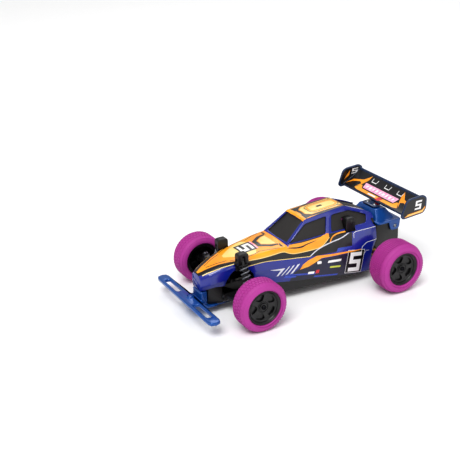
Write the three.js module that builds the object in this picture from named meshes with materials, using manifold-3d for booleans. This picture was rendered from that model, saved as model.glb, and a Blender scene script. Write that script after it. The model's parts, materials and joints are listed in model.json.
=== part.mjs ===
// A 1:16 scale radio-controlled racing buggy: hollow printed body, black chassis tub,
// sprung and steered front wheels, and a geared solid rear axle.
// Millimetres. +Z is up, -Y is the way it drives, +X is its left side.
// The origin is on the floor under the middle of the car.
import * as THREE from "three";
import { mergeVertices } from "three/addons/utils/BufferGeometryUtils.js";
import Module from "manifold-3d";

const wasm = await Module();
wasm.setup();

// ---------------------------------------------------------------- driving dimensions

const GAP = 0.35; // clearance between two pieces that touch
const SLIDE_GAP = 0.75; // side play of a pin in the slot of a link

// Lengths of the body along the car; the wheelbase is their sum.
const NOSE_LENGTH = 38;
const HOOD_LENGTH = 61;
const SCREEN_LENGTH = 28;
const ROOF_LENGTH = 53;
const DECK_LENGTH = 32;
const TAIL_OVERHANG = 6;
const FRONT_AXLE_Y = -83;

const FRONT_TRACK = 138;
const REAR_TRACK = 147;
const FRONT_WHEEL = { radius: 28, width: 24.7, rim: 19.3, axle: 5, axleHole: 5.6 };
const REAR_WHEEL = { radius: 29, width: 29.4, rim: 18.9, axle: 4, axleHole: 4.7 };

const GROUND_CLEARANCE = 10;
const TUB_FLOOR = 2;
const TUB_WALL = 1.8;
const SHELL_WALL = 1.2;
const INSERT_WALL = 1;
const BELT_Z = 63;
const ROOF_Z = 87.7;

const GEAR_MODULE = 0.6;
const AXLE_TEETH = 38;
const COMPOUND_SMALL_TEETH = 12;
const COMPOUND_BIG_TEETH = 38;
const PINION_TEETH = 10;
const MOTOR = { radius: 10.2, length: 27, shaft: 2 };
const GEARBOX_HALF_WIDTH = 27.5;
const GEARBOX_WALL = 2;
const GEARBOX_TOP = 58.5;
const BUSHING = { radius: 4.4, length: 6 };

const KINGPIN_X = 50;
const KINGPIN = 2.6;
const ARM_HINGE = { x: 15.6, z: 17, pin: 2.4, barrel: 6 };
const STEERING_ARM = 13;
const SHOCK_TOP = { x: 22.5, z: 60 };
const SHOCK_FOOT = { x: 40.5, z: 22.8 };
const SHOCK_BEHIND_AXLE = 6;
const SPRING = { radius: 4.5, wire: 1.4, turns: 4.5 };

const CELL = { radius: 7.1, length: 50, spacing: 14.5 };
const BOX_WALL = 0.95;

const BUMPER_SPAN = 130.8;
const BUMPER_THICKNESS = 4;
const WING_SPAN = 122;
const END_PLATE = 2;

// ---------------------------------------------------------------- places worked out from them

const NOSE_Y = FRONT_AXLE_Y - NOSE_LENGTH;
const SCREEN_Y = FRONT_AXLE_Y + HOOD_LENGTH;
const ROOF_FRONT_Y = SCREEN_Y + SCREEN_LENGTH;
const ROOF_REAR_Y = ROOF_FRONT_Y + ROOF_LENGTH;
const REAR_AXLE_Y = ROOF_REAR_Y + DECK_LENGTH;
const TAIL_Y = REAR_AXLE_Y + TAIL_OVERHANG;
const FRONT_AXLE_Z = FRONT_WHEEL.radius;
const REAR_AXLE_Z = REAR_WHEEL.radius;
const FLOOR_TOP = GROUND_CLEARANCE + TUB_FLOOR;
const SHOCK_Y = FRONT_AXLE_Y + SHOCK_BEHIND_AXLE;
const TIE_ROD_Y = FRONT_AXLE_Y + STEERING_ARM;
const HORN_Y = TIE_ROD_Y + STEERING_ARM;

// ---------------------------------------------------------------- solids

const outwards = (g) => {
  const p = g.attributes.position, i = g.index.array;
  const [a, b, c] = [new THREE.Vector3(), new THREE.Vector3(), new THREE.Vector3()];
  let volume = 0;
  for (let t = 0; t < i.length; t += 3) {
    a.fromBufferAttribute(p, i[t]);
    b.fromBufferAttribute(p, i[t + 1]);
    c.fromBufferAttribute(p, i[t + 2]);
    volume += a.dot(b.cross(c));
  }
  return volume > 0;
};

// A closed geometry as a manifold solid: vertices merged, faces of no area dropped, faces out.
function solid(geometry) {
  const g = geometry.clone();
  g.deleteAttribute("normal");
  g.deleteAttribute("uv");
  const merged = mergeVertices(g, 1e-4);
  const kept = [];
  const flip = !outwards(merged);
  for (let t = 0; t < merged.index.count; t += 3) {
    const [a, b, c] = [0, 1, 2].map((k) => merged.index.array[t + k]);
    if (a !== b && b !== c && c !== a) kept.push(...(flip ? [a, c, b] : [a, b, c]));
  }
  return new wasm.Manifold(new wasm.Mesh({
    numProp: 3,
    vertProperties: new Float32Array(merged.attributes.position.array),
    triVerts: new Uint32Array(kept),
  }));
}

function geometryOf(manifold) {
  const mesh = manifold.getMesh();
  return new THREE.BufferGeometry()
    .setAttribute("position", new THREE.BufferAttribute(new Float32Array(mesh.vertProperties), 3))
    .setIndex(new THREE.BufferAttribute(new Uint32Array(mesh.triVerts), 1));
}

const join = (...pieces) => geometryOf(pieces.map(solid).reduce((a, b) => a.add(b)));
const cut = (body, ...tools) => geometryOf(tools.map(solid).reduce((a, b) => a.subtract(b), solid(body)));
const common = (a, b) => geometryOf(solid(a).intersect(solid(b)));

// A shape through points [x, y, corner radius]; a corner with no radius stays sharp, and a round
// one takes less than half of each edge beside it.
function outline(points, PathClass = THREE.Shape) {
  const path = new PathClass();
  const corners = points.map(([x, y, r = 0]) => ({ at: new THREE.Vector2(x, y), r }));
  corners.forEach(({ at, r }, i) => {
    const before = corners.at(i - 1).at, after = corners[(i + 1) % corners.length].at;
    const towards = (end) => at.clone().lerp(end, Math.min(r / at.distanceTo(end), 0.48));
    const enter = r ? towards(before) : at, leave = r ? towards(after) : at;
    if (i === 0) path.moveTo(enter.x, enter.y);
    else path.lineTo(enter.x, enter.y);
    if (r) path.quadraticCurveTo(at.x, at.y, leave.x, leave.y);
  });
  path.closePath();
  return path;
}

const BASES = {
  x: [[0, 1, 0], [0, 0, 1], [1, 0, 0]],
  y: [[1, 0, 0], [0, 0, 1], [0, -1, 0]],
  z: [[1, 0, 0], [0, 1, 0], [0, 0, 1]],
};

// An outline extruded along an axis between two places: on x the outline is (y, z),
// on y it is (x, z), and on z it is (x, y).
function prism(axis, points, from, to, curveSegments = 2) {
  const shape = points instanceof THREE.Shape ? points : outline(points);
  const g = new THREE.ExtrudeGeometry(shape, { depth: to - from, bevelEnabled: false, curveSegments });
  g.translate(0, 0, axis === "y" ? -to : from);
  return g.applyMatrix4(new THREE.Matrix4().makeBasis(...BASES[axis].map((v) => new THREE.Vector3(...v))));
}

// A box between two corners.
const block = ([x0, y0, z0], [x1, y1, z1]) =>
  new THREE.BoxGeometry(x1 - x0, y1 - y0, z1 - z0).translate((x0 + x1) / 2, (y0 + y1) / 2, (z0 + z1) / 2);

// A round bar between two points.
function bar(radius, from, to, sides = 12) {
  const [a, b] = [new THREE.Vector3(...from), new THREE.Vector3(...to)];
  const turn = new THREE.Quaternion().setFromUnitVectors(
    new THREE.Vector3(0, 1, 0), b.clone().sub(a).normalize());
  return new THREE.CylinderGeometry(radius, radius, a.distanceTo(b), sides)
    .applyQuaternion(turn).translate(...a.add(b).multiplyScalar(0.5).toArray());
}

// A profile of [radius, place on the axis] turned about the x axis.
const turnedX = (profile, segments) =>
  new THREE.LatheGeometry([...profile, profile[0]].map(([r, x]) => new THREE.Vector2(r, x)), segments)
    .rotateZ(-Math.PI / 2);

// A closed skin through sections that all have the same number of points.
function loft(sections) {
  const count = sections[0].length;
  const positions = sections.flat(2);
  const index = [];
  for (let s = 0; s + 1 < sections.length; s++) {
    for (let k = 0; k < count; k++) {
      const [a, b] = [s * count + k, s * count + ((k + 1) % count)];
      index.push(a, b, b + count, a, b + count, a + count);
    }
  }
  const cap = (section, offset, flip) => {
    const flat = section.map(([x, , z]) => new THREE.Vector2(x, z));
    for (const [a, b, c] of THREE.ShapeUtils.triangulateShape(flat, [])) {
      index.push(...(flip ? [a, c, b] : [a, b, c]).map((k) => k + offset));
    }
  };
  cap(sections[0], 0, true);
  cap(sections.at(-1), (sections.length - 1) * count, false);
  return new THREE.BufferGeometry()
    .setAttribute("position", new THREE.Float32BufferAttribute(positions, 3)).setIndex(index);
}

// ---------------------------------------------------------------- body shell

// Half sections of the body from the nose to the tail, each [x, z]: sill, flank, belt, the
// shelf under the side windows, and the edge of the hood or roof; then the crown on the centre.
const CABIN_RISE = ROOF_Z - BELT_Z;
const STATIONS = [
  [NOSE_Y, [8.5, 27], [10, 33], [9.5, 40], [8.5, 42], [6, 44], 45],
  [NOSE_Y + 9, [12.5, 27], [15.5, 35], [14.5, 44], [12.5, 46.5], [9.5, 48.3], 49.4],
  [NOSE_Y + 23, [16.5, 27], [20, 38], [18.5, 48.5], [16.3, 51.3], [13, 53], 54.2],
  [FRONT_AXLE_Y, [19.5, 27], [22.3, 41], [20.8, 51.5], [18.8, 54.2], [15.8, 55.8], 57.2],
  [FRONT_AXLE_Y + 21, [24, 26], [26, 42], [23.6, 54.2], [21.8, 57], [19.2, 58.6], 60],
  [SCREEN_Y - 18, [30, 24.5], [30, 41], [26.6, 55.8], [25, 59], [22.6, 60.8], 62],
  [SCREEN_Y, [33, 22.5], [32.2, 39], [28, 57.5], [26.8, 60.4], [24.6, 61.6], 62.6],
  [ROOF_FRONT_Y, [35.5, 19.5], [34.2, 38], [28.8, 60.5], [27.6, BELT_Z], [17.9, BELT_Z + CABIN_RISE * 0.84],
    BELT_Z + CABIN_RISE * 0.88],
  [ROOF_FRONT_Y + 25, [37.3, 16.5], [35.8, 38], [29, 61], [27.6, BELT_Z + 0.6], [16.7, ROOF_Z - 1.7],
    ROOF_Z - 0.5],
  [ROOF_REAR_Y, [39.3, 13], [37.2, 38], [29.4, 61.2], [27.6, BELT_Z + 0.6], [15.6, ROOF_Z], ROOF_Z + 1],
  [REAR_AXLE_Y - 6.5, [38.3, 11], [37, 40], [32, 61.4], [27.6, BELT_Z + 0.4], [15.6, ROOF_Z - 10],
    ROOF_Z - 9],
  [TAIL_Y, [36, 11], [35.4, 42], [33, 61], [27.4, BELT_Z - 0.4], [17, ROOF_Z - 16], ROOF_Z - 15],
];

// The half section's points, moved inwards by an inset along the corner bisectors.
function halfSection([, ...rest], inset) {
  const points = [...rest.slice(0, -1), [0, rest.at(-1)]];
  const last = points.at(-2);
  const mirrored = [...points, [-last[0], last[1]]];
  return points.map(([x, z], i) => {
    const inward = (a, b) => new THREE.Vector2(-(b[1] - a[1]), b[0] - a[0]).normalize();
    const ahead = inward(mirrored[i], mirrored[i + 1]);
    const behind = i ? inward(mirrored[i - 1], mirrored[i]) : ahead;
    const bisector = ahead.clone().add(behind).normalize();
    const reach = inset / Math.max(0.5, bisector.dot(ahead));
    return [x + bisector.x * reach, z + bisector.y * reach];
  });
}

// The body's volume, inset all round, with its underside lowered and its ends moved.
function bodyVolume(inset, drop, frontShift, tailShift) {
  return loft(STATIONS.map((station, s) => {
    const shift = s === 0 ? frontShift : s === STATIONS.length - 1 ? tailShift : 0;
    const half = halfSection(station, inset);
    half[0][1] -= drop;
    const ring = [...half, ...half.slice(0, -1).reverse().map(([x, z]) => [-x, z])];
    return ring.map(([x, z]) => [x, station[0] + shift, z]);
  }));
}

// How far the body reaches from the centre at a place along the car and a height.
function bodyHalfWidth(y, z) {
  const widthOf = (station) => {
    const line = halfSection(station, 0);
    const k = line.findIndex((p, i) => i && z <= p[1]);
    const [a, b] = k > 0 ? [line[k - 1], line[k]] : [line.at(-2), line.at(-1)];
    return THREE.MathUtils.mapLinear(Math.max(z, a[1]), a[1], b[1], a[0], b[0]);
  };
  const s = Math.max(1, STATIONS.findIndex((st) => st[0] >= y));
  const [before, after] = [STATIONS[s - 1], STATIONS[s]];
  return THREE.MathUtils.mapLinear(y, before[0], after[0], widthOf(before), widthOf(after));
}

const SILL_Z = (y) => {
  const s = Math.max(1, STATIONS.findIndex((st) => st[0] >= y));
  const [before, after] = [STATIONS[s - 1], STATIONS[s]];
  return THREE.MathUtils.mapLinear(y, before[0], after[0], before[1][1], after[1][1]);
};

const FAR = 60; // reach of a cutting tool past the body's sides
const CAP = { width: 8, length: 12.7, top: 67, x: SHOCK_TOP.x };
const REAR_CAP = { width: 8.5, length: 12.4, top: 77, x: 24.2, y: ROOF_REAR_Y + 1.5 };
const NOTCH = 0.7; // room round a shock cap where it comes through the body

// Rooms in the body for the shock caps, on both sides.
const capNotches = () => [1, -1].flatMap((side) => {
  const box = (cap, y, reach, z0, z1) => {
    const [a, b] = [side * (cap.x - cap.width / 2 - NOTCH), side * (cap.x + reach)];
    return block([Math.min(a, b), y - cap.length / 2 - NOTCH, z0],
      [Math.max(a, b), y + cap.length / 2 + NOTCH, z1]);
  };
  return [
    box(CAP, SHOCK_Y, CAP.width, 40, CAP.top + 4),
    box(REAR_CAP, REAR_CAP.y, REAR_CAP.width, BELT_Z - 2.6, REAR_CAP.top + NOTCH),
  ];
});

function bodyShell() {
  const hollow = bodyVolume(SHELL_WALL, 12, SHELL_WALL + 0.3, 6);
  const frontArch = prism("x", [
    [FRONT_AXLE_Y - 14, 15], [FRONT_AXLE_Y - 12, 38, 5], [FRONT_AXLE_Y - 4, 47.5, 5],
    [FRONT_AXLE_Y + 12, 48.5, 5], [FRONT_AXLE_Y + 19, 40, 5], [FRONT_AXLE_Y + 24, 15],
  ], -FAR, FAR);
  const rearArch = prism("x", [
    [REAR_AXLE_Y - 12, 0], [REAR_AXLE_Y - 11, 11], [REAR_AXLE_Y - 8.3, 24, 4],
    [REAR_AXLE_Y - 5.4, 36, 4], [REAR_AXLE_Y + 1.3, 47], [REAR_AXLE_Y + 1.3, BELT_Z + 4],
    [TAIL_Y + 10, BELT_Z + 4], [TAIL_Y + 10, 0],
  ], -FAR, FAR);
  const windscreen = prism("y", [
    [-20.2, BELT_Z + 0.6, 1.5], [20.2, BELT_Z + 0.6, 1.5],
    [15.2, BELT_Z + CABIN_RISE * 0.79, 1.5], [-15.2, BELT_Z + CABIN_RISE * 0.79, 1.5],
  ], SCREEN_Y - 6, ROOF_FRONT_Y - 0.5);
  const doorWindow = prism("x", [
    [SCREEN_Y + 3, BELT_Z + 0.9, 1.5], [ROOF_FRONT_Y - 1, BELT_Z + CABIN_RISE * 0.68, 2],
    [ROOF_FRONT_Y + 28, BELT_Z + CABIN_RISE * 0.77, 2], [ROOF_FRONT_Y + 22, BELT_Z + 2, 2],
  ], -FAR, FAR);
  const rearWindow = prism("x", [
    [ROOF_FRONT_Y + 29.5, BELT_Z + 2, 2], [ROOF_FRONT_Y + 34.5, BELT_Z + CABIN_RISE * 0.77, 3],
    [ROOF_REAR_Y + 5, BELT_Z + CABIN_RISE * 0.78, 4], [REAR_AXLE_Y - 2.5, BELT_Z + 9, 2],
    [REAR_AXLE_Y - 7, BELT_Z + 2, 2],
  ], -FAR, FAR);
  const rearScreen = prism("z", [
    [-11.8, ROOF_REAR_Y + 3.5, 2], [11.8, ROOF_REAR_Y + 3.5, 2],
    [13, TAIL_Y - 4, 2], [-13, TAIL_Y - 4, 2],
  ], BELT_Z + 4, ROOF_Z + 5);
  return cut(bodyVolume(0, 0, 0, 0), hollow, frontArch, rearArch,
    windscreen, doorWindow, rearWindow, rearScreen, ...capNotches());
}

// The dark moulding that shows through every window and closes the tail.
function windowInsert() {
  const outer = SHELL_WALL + GAP;
  const skin = cut(bodyVolume(outer, 12, outer, -GAP),
    bodyVolume(outer + INSERT_WALL, 13, outer, -2.2));
  const cabin = block([-FAR, SCREEN_Y - 3, BELT_Z - 6], [FAR, TAIL_Y + 5, ROOF_Z + 5]);
  const tail = block([-FAR, REAR_AXLE_Y + 0.6, 0], [FAR, TAIL_Y + 10, BELT_Z - 0.5]);
  return cut(common(skin, cabin), tail, ...capNotches());
}

// ---------------------------------------------------------------- chassis tub

const TUB_FRONT_Y = NOSE_Y + 8;
const TUB_REAR_Y = REAR_AXLE_Y - 15.2;
const WAIST = 12.5; // half width between the front arms
const WAIST_FRONT_Y = FRONT_AXLE_Y - 14.5;
const WAIST_REAR_Y = FRONT_AXLE_Y + 18;
const BATTERY = { front: ROOF_FRONT_Y - 8.3, half: CELL.spacing * 1.5 + CELL.radius + 0.3 };
BATTERY.rear = BATTERY.front + CELL.length + 2;
const TUB_TOP = [[TUB_FRONT_Y, 29.5], [WAIST_REAR_Y, 29.5], [SCREEN_Y, 29], [ROOF_REAR_Y, 20.5],
  [TUB_REAR_Y, 19.5]];

const tubHalfWidth = (y) => bodyHalfWidth(y, SILL_Z(y) + 8) - SHELL_WALL - GAP - 0.3;

// Outline of the tub seen from above, inset by a wall.
function tubOutline(inset) {
  const nose = Math.min(tubHalfWidth(TUB_FRONT_Y), bodyHalfWidth(TUB_FRONT_Y, 28) - SHELL_WALL - GAP - 0.3);
  const flare = bodyHalfWidth(WAIST_FRONT_Y, 28) - SHELL_WALL - GAP - 0.4;
  const half = [
    [nose - inset, TUB_FRONT_Y + inset],
    [flare - inset, WAIST_FRONT_Y - inset],
    [WAIST - inset, WAIST_FRONT_Y - inset],
    [WAIST - inset, WAIST_REAR_Y + inset],
    ...[WAIST_REAR_Y + 0.1, SCREEN_Y - 18, SCREEN_Y, ROOF_FRONT_Y, ROOF_FRONT_Y + 25, ROOF_REAR_Y, TUB_REAR_Y]
      .map((y, k, all) => [
        tubHalfWidth(y) - inset - (k ? 0 : 1),
        y + (k === 0 ? inset : 0) - (k === all.length - 1 ? inset : 0),
      ]),
  ];
  return [...half, ...half.slice().reverse().map(([x, y]) => [-x, y])];
}

const SWITCH_Y = BATTERY.rear + 9;
const TRIM_Y = HORN_Y;
const BUMPER_SCREW_Y = NOSE_Y + 15.5;
const BUMPER_SCREW_X = 6;
const SCREW = { head: 2.6, shank: 1.2, headHeight: 1.6, hole: 1.6 };

function chassisTub() {
  const bottom = GROUND_CLEARANCE;
  const walls = prism("z", tubOutline(0), bottom, 32);
  const inside = prism("z", tubOutline(TUB_WALL), FLOOR_TOP, 40);
  const above = prism("x", [...TUB_TOP, [TUB_REAR_Y + 9, 19.5], [TUB_REAR_Y + 9, 60], [TUB_FRONT_Y - 9, 60],
    [TUB_FRONT_Y - 9, 29.5]], -FAR, FAR);
  const pivotEars = [1, -1].flatMap((side) => ARM_EARS.map(([y0, y1]) => {
    const [a, b] = [side * (WAIST - 1), side * (ARM_HINGE.x + 2.9)];
    return block([Math.min(a, b), y0, ARM_HINGE.z - 3], [Math.max(a, b), y1, ARM_HINGE.z + 3]);
  }));
  const pinHoles = [1, -1].map((side) => bar((ARM_HINGE.pin + 0.7) / 2,
    [side * ARM_HINGE.x, ARM_EARS[0][0] - 1, ARM_HINGE.z], [side * ARM_HINGE.x, ARM_EARS[1][1] + 1,
      ARM_HINGE.z], 16));
  const tieRodSlot = block([-WAIST - 2, TIE_ROD_Y - TIE_ROD.end / 2 + 0.4, TIE_ROD.z0 - 0.8],
    [WAIST + 2, TIE_ROD_Y + TIE_ROD.end / 2 - 0.4, TIE_ROD.z1 + 0.8]);
  const batteryHole = block([-BATTERY.half, BATTERY.front, bottom - 1], [BATTERY.half, BATTERY.rear,
    FLOOR_TOP + 1]);
  const switchSlot = block([-SWITCH.width / 2 - 0.5, SWITCH_Y - SWITCH.length / 2 - 0.5, bottom - 1],
    [SWITCH.width / 2 + 0.5, SWITCH_Y + SWITCH.length / 2 + SWITCH.travel + 0.5, FLOOR_TOP + 1]);
  const trimHole = bar(TRIM.stem + 0.4, [0, TRIM_Y, bottom - 1], [0, TRIM_Y, FLOOR_TOP + 1], 16);
  const screwHoles = [1, -1].map((side) => bar(SCREW.hole, [side * BUMPER_SCREW_X, BUMPER_SCREW_Y,
    bottom - 1],
    [side * BUMPER_SCREW_X, BUMPER_SCREW_Y, FLOOR_TOP + 1], 12));
  const ribs = [WAIST_REAR_Y + 29, SWITCH_Y + SWITCH.travel + 6].map((y) => {
    const half = tubHalfWidth(y) - TUB_WALL / 2;
    return block([-half, y, FLOOR_TOP - 1], [half, y + 1.5, FLOOR_TOP + 5]);
  });
  const shell = join(cut(walls, inside, above), ...pivotEars, ...ribs);
  return cut(shell, ...pinHoles, tieRodSlot, batteryHole, switchSlot, trimHole, ...screwHoles);
}

// ---------------------------------------------------------------- front bumper

const BEND_Y = NOSE_Y + 3; // where the neck starts to rise
const BEND_Z = GROUND_CLEARANCE - GAP;
const LOOP = {
  front: NOSE_Y - 18.4, rear: NOSE_Y - 4.4, bar: BUMPER_THICKNESS, z0: 15.2, round: 6.6,
  slotInner: 19, slotOuter: BUMPER_SPAN / 2 - 14.5,
};

// Flat oval loop with two long slots, on a neck that rises from a tongue screwed under the tub.
function frontBumper() {
  const { front, rear, bar: width, z0, round, slotInner, slotOuter } = LOOP;
  const half = BUMPER_SPAN / 2, top = z0 + width;
  const loop = outline([[-half, front, round], [half, front, round], [half, rear, round], [-half, rear,
    round]]);
  for (const side of [1, -1]) {
    loop.holes.push(outline([
      [side * slotInner, front + width, 2], [side * slotOuter, front + width, 2],
      [side * slotOuter, rear - width, 2], [side * slotInner, rear - width, 2],
    ], THREE.Path));
  }
  const ring = prism("z", loop, z0, top);
  const neck = prism("x", [
    [BEND_Y + 4, BEND_Z - 2.4], [BEND_Y, BEND_Z - 2.4, 2], [rear - 1, z0, 2], [rear - width, z0],
    [rear - width, top - 0.5], [rear, top - 0.5, 3], [BEND_Y + 2, BEND_Z + 2],
  ], -14.5, 14.5);
  const tongue = prism("z", [
    [-14.5, BEND_Y + 1, 0], [14.5, BEND_Y + 1, 0], [15.5, BEND_Y + 15.5, 3], [-15.5, BEND_Y + 15.5, 3],
  ], BEND_Z - 2.4, BEND_Z);
  const boss = bar(3.4, [0, rear - width, top - 1], [0, rear - width, top + 1.2]);
  const riser = prism("x", [
    [NOSE_Y - 0.6, BEND_Z - 1.5], [NOSE_Y + 0.2, 25.6, 1], [TUB_FRONT_Y - GAP, 25.9],
    [TUB_FRONT_Y - GAP, BEND_Z - 1.5],
  ], -10, 10);
  const holes = [1, -1].map((side) => bar(SCREW.hole, [side * BUMPER_SCREW_X, BUMPER_SCREW_Y, 0],
    [side * BUMPER_SCREW_X, BUMPER_SCREW_Y, BEND_Z + 1], 12));
  return cut(join(ring, neck, tongue, boss, riser), ...holes);
}

// A round-head screw with a cross recess; its head is at its origin and its shank points along +z.
function screw(length) {
  const { head, shank, headHeight } = SCREW;
  const turned = new THREE.LatheGeometry([
    [0, -headHeight], [head * 0.62, -headHeight], [head, -headHeight * 0.45], [head, 0],
    [shank, 0], [shank, length - shank], [0, length],
  ].map(([r, z]) => new THREE.Vector2(r, z)), 8).rotateX(Math.PI / 2);
  const arm = (w, l) => block([-w, -l, -headHeight - 1], [w, l, -headHeight * 0.5]);
  return cut(turned, arm(0.35, 1.5), arm(1.5, 0.35));
}

// ---------------------------------------------------------------- front suspension (left side, mirrored)

const ARM_BARREL = [FRONT_AXLE_Y - 11.5, FRONT_AXLE_Y + 5.8];
const ARM_EARS = [
  [ARM_BARREL[0] - GAP - 2.6, ARM_BARREL[0] - GAP],
  [ARM_BARREL[1] + GAP, ARM_BARREL[1] + GAP + 2.3],
];
const KNUCKLE = { z0: FRONT_AXLE_Z - 6.5, z1: FRONT_AXLE_Z + 7.5, half: 4 };
const HUB_CARRIER = { x: KINGPIN_X - 9.5, front: FRONT_AXLE_Y - 5.5, rear: FRONT_AXLE_Y + 0.6 };
const EYE = 2.6; // thickness of a shock eye
const ARM_REAR = SHOCK_Y + EYE / 2 + GAP + 1.5;
const TIE_ROD = {
  z0: ARM_HINGE.z - 1.5, z1: ARM_HINGE.z + 1.5, bar: 4.4, end: 2 * (TIE_ROD_Y - ARM_REAR - GAP), pin: 1.2,
};

function frontArm() {
  const { x, z, barrel } = ARM_HINGE;
  const pivot = bar(barrel / 2, [x, ARM_BARREL[0], z], [x, ARM_BARREL[1], z], 12);
  const lugZ = KNUCKLE.z0 - GAP;
  const plate = cut(prism("z", [
    [x, ARM_BARREL[0]], [HUB_CARRIER.x, HUB_CARRIER.front - 1.5, 2], [KINGPIN_X + 3.6, FRONT_AXLE_Y - 4.2, 3],
    [KINGPIN_X + 3.6, FRONT_AXLE_Y + 4.2, 3], [SHOCK_FOOT.x + 3.5, ARM_REAR, 1],
    [x + 4, ARM_REAR], [x + 3.4, ARM_BARREL[1]], [x, ARM_BARREL[1]],
  ], z - 2.4, Math.min(z + 2.6, lugZ)), prism("z", [
    [x + 7, FRONT_AXLE_Y - 7.5, 1], [SHOCK_FOOT.x - 5, FRONT_AXLE_Y - 4.5, 1],
    [SHOCK_FOOT.x - 5, FRONT_AXLE_Y + 0.5, 1], [x + 7, FRONT_AXLE_Y + 2, 1],
  ], z - 5, z + 5));
  const lowerLug = bar(4.2, [KINGPIN_X, FRONT_AXLE_Y, z - 2.4], [KINGPIN_X, FRONT_AXLE_Y, lugZ]);
  const web = block([HUB_CARRIER.x, HUB_CARRIER.front, z - 2], [HUB_CARRIER.x + 2.8, HUB_CARRIER.rear,
    KNUCKLE.z1 + 3.5]);
  const upperLug = join(
    bar(4.2, [KINGPIN_X, FRONT_AXLE_Y, KNUCKLE.z1 + GAP], [KINGPIN_X, FRONT_AXLE_Y, KNUCKLE.z1 + 3.5]),
    prism("z", [[HUB_CARRIER.x, HUB_CARRIER.front], [KINGPIN_X, FRONT_AXLE_Y - 4.2], [KINGPIN_X,
      FRONT_AXLE_Y + 4.2],
      [HUB_CARRIER.x, HUB_CARRIER.rear]], KNUCKLE.z1 + GAP, KNUCKLE.z1 + 3.5));
  const ears = [-1, 1].map((s) => {
    const inner = SHOCK_Y + s * (EYE / 2 + GAP), outer = SHOCK_Y + s * (EYE / 2 + GAP + 1.5);
    return prism("y", [
      [SHOCK_FOOT.x - 3, z], [SHOCK_FOOT.x + 3, z], [SHOCK_FOOT.x + 2.4, SHOCK_FOOT.z + 2.2, 1],
      [SHOCK_FOOT.x - 2.4, SHOCK_FOOT.z + 2.2, 1],
    ], Math.min(inner, outer), Math.max(inner, outer));
  });
  const eyePin = bar(0.9, [SHOCK_FOOT.x, SHOCK_Y - 2.4, SHOCK_FOOT.z], [SHOCK_FOOT.x, SHOCK_Y + 2.4,
    SHOCK_FOOT.z], 12);
  const footRoom = block([SHOCK_FOOT.x - 4, SHOCK_Y - EYE / 2 - GAP, z + 1.2],
    [SHOCK_FOOT.x + 4.4, SHOCK_Y + EYE / 2 + GAP, z + 9]);
  const hinge = bar((ARM_HINGE.pin + 0.7) / 2, [x, ARM_BARREL[0] - 1, z], [x, ARM_BARREL[1] + 1, z], 16);
  const kingpin = bar((KINGPIN + 0.7) / 2, [KINGPIN_X, FRONT_AXLE_Y, 0], [KINGPIN_X, FRONT_AXLE_Y, 60], 16);
  const body = cut(join(pivot, plate, lowerLug, web, upperLug, ...ears), footRoom, hinge, kingpin);
  return join(body, eyePin);
}

const armPin = () => bar(ARM_HINGE.pin / 2, [ARM_HINGE.x, ARM_EARS[0][0] - 0.6, ARM_HINGE.z],
  [ARM_HINGE.x, ARM_EARS[1][1] + 0.6, ARM_HINGE.z], 16);

function kingpin() {
  const top = KNUCKLE.z1 + 3.5 + GAP;
  const pin = bar(KINGPIN / 2, [KINGPIN_X, FRONT_AXLE_Y, ARM_HINGE.z - 3.4], [KINGPIN_X, FRONT_AXLE_Y,
    top + 1], 16);
  return join(pin, bar(2.6, [KINGPIN_X, FRONT_AXLE_Y, top], [KINGPIN_X, FRONT_AXLE_Y, top + 1.4], 16));
}

function knuckle() {
  const { z0, z1, half } = KNUCKLE;
  const core = join(
    bar(half, [KINGPIN_X, FRONT_AXLE_Y, z0], [KINGPIN_X, FRONT_AXLE_Y, z1]),
    block([KINGPIN_X, FRONT_AXLE_Y - 3.6, FRONT_AXLE_Z - 4], [KINGPIN_X + 6, FRONT_AXLE_Y + 3.6,
      FRONT_AXLE_Z + 4]));
  const arm = prism("z", [
    [KINGPIN_X - 2.2, FRONT_AXLE_Y], [KINGPIN_X + 2.2, FRONT_AXLE_Y], [KINGPIN_X + 1.9, TIE_ROD_Y + 2.2, 1.4],
    [KINGPIN_X - 1.9, TIE_ROD_Y + 2.2, 1.4],
  ], z0, z0 + 2.6);
  const pin = bar(TIE_ROD.pin, [KINGPIN_X, TIE_ROD_Y, GROUND_CLEARANCE], [KINGPIN_X, TIE_ROD_Y, z0 + 1], 12);
  const bore = bar((KINGPIN + 0.7) / 2, [KINGPIN_X, FRONT_AXLE_Y, 0], [KINGPIN_X, FRONT_AXLE_Y, 60], 16);
  const hubEnd = FRONT_TRACK / 2 + FRONT_WHEEL.width / 2 - 4.6;
  const axle = bar(FRONT_WHEEL.axle / 2, [KINGPIN_X + 5, FRONT_AXLE_Y, FRONT_AXLE_Z],
    [hubEnd, FRONT_AXLE_Y, FRONT_AXLE_Z]);
  const screwHole = bar(SCREW.hole, [hubEnd - 7, FRONT_AXLE_Y, FRONT_AXLE_Z], [hubEnd + 1, FRONT_AXLE_Y,
    FRONT_AXLE_Z], 12);
  return cut(join(core, arm, pin, axle), bore, screwHole);
}

// The shock is built upright below its top eye, then leaned to reach its foot on the arm.
const SHOCK_LENGTH = Math.hypot(SHOCK_FOOT.x - SHOCK_TOP.x, SHOCK_TOP.z - SHOCK_FOOT.z);
const SHOCK_LEAN = Math.atan2(SHOCK_FOOT.x - SHOCK_TOP.x, SHOCK_TOP.z - SHOCK_FOOT.z);
const SHOCK_TUBE = { radius: 2.5, end: SHOCK_LENGTH * 0.56, seat: SHOCK_LENGTH * 0.19 };
const SHOCK_SEAT = SPRING.radius + SPRING.wire / 2;
const SHOCK_ROD = { radius: 1.1, cup: SHOCK_LENGTH - 6.4, top: SHOCK_LENGTH * 0.38 };

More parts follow.
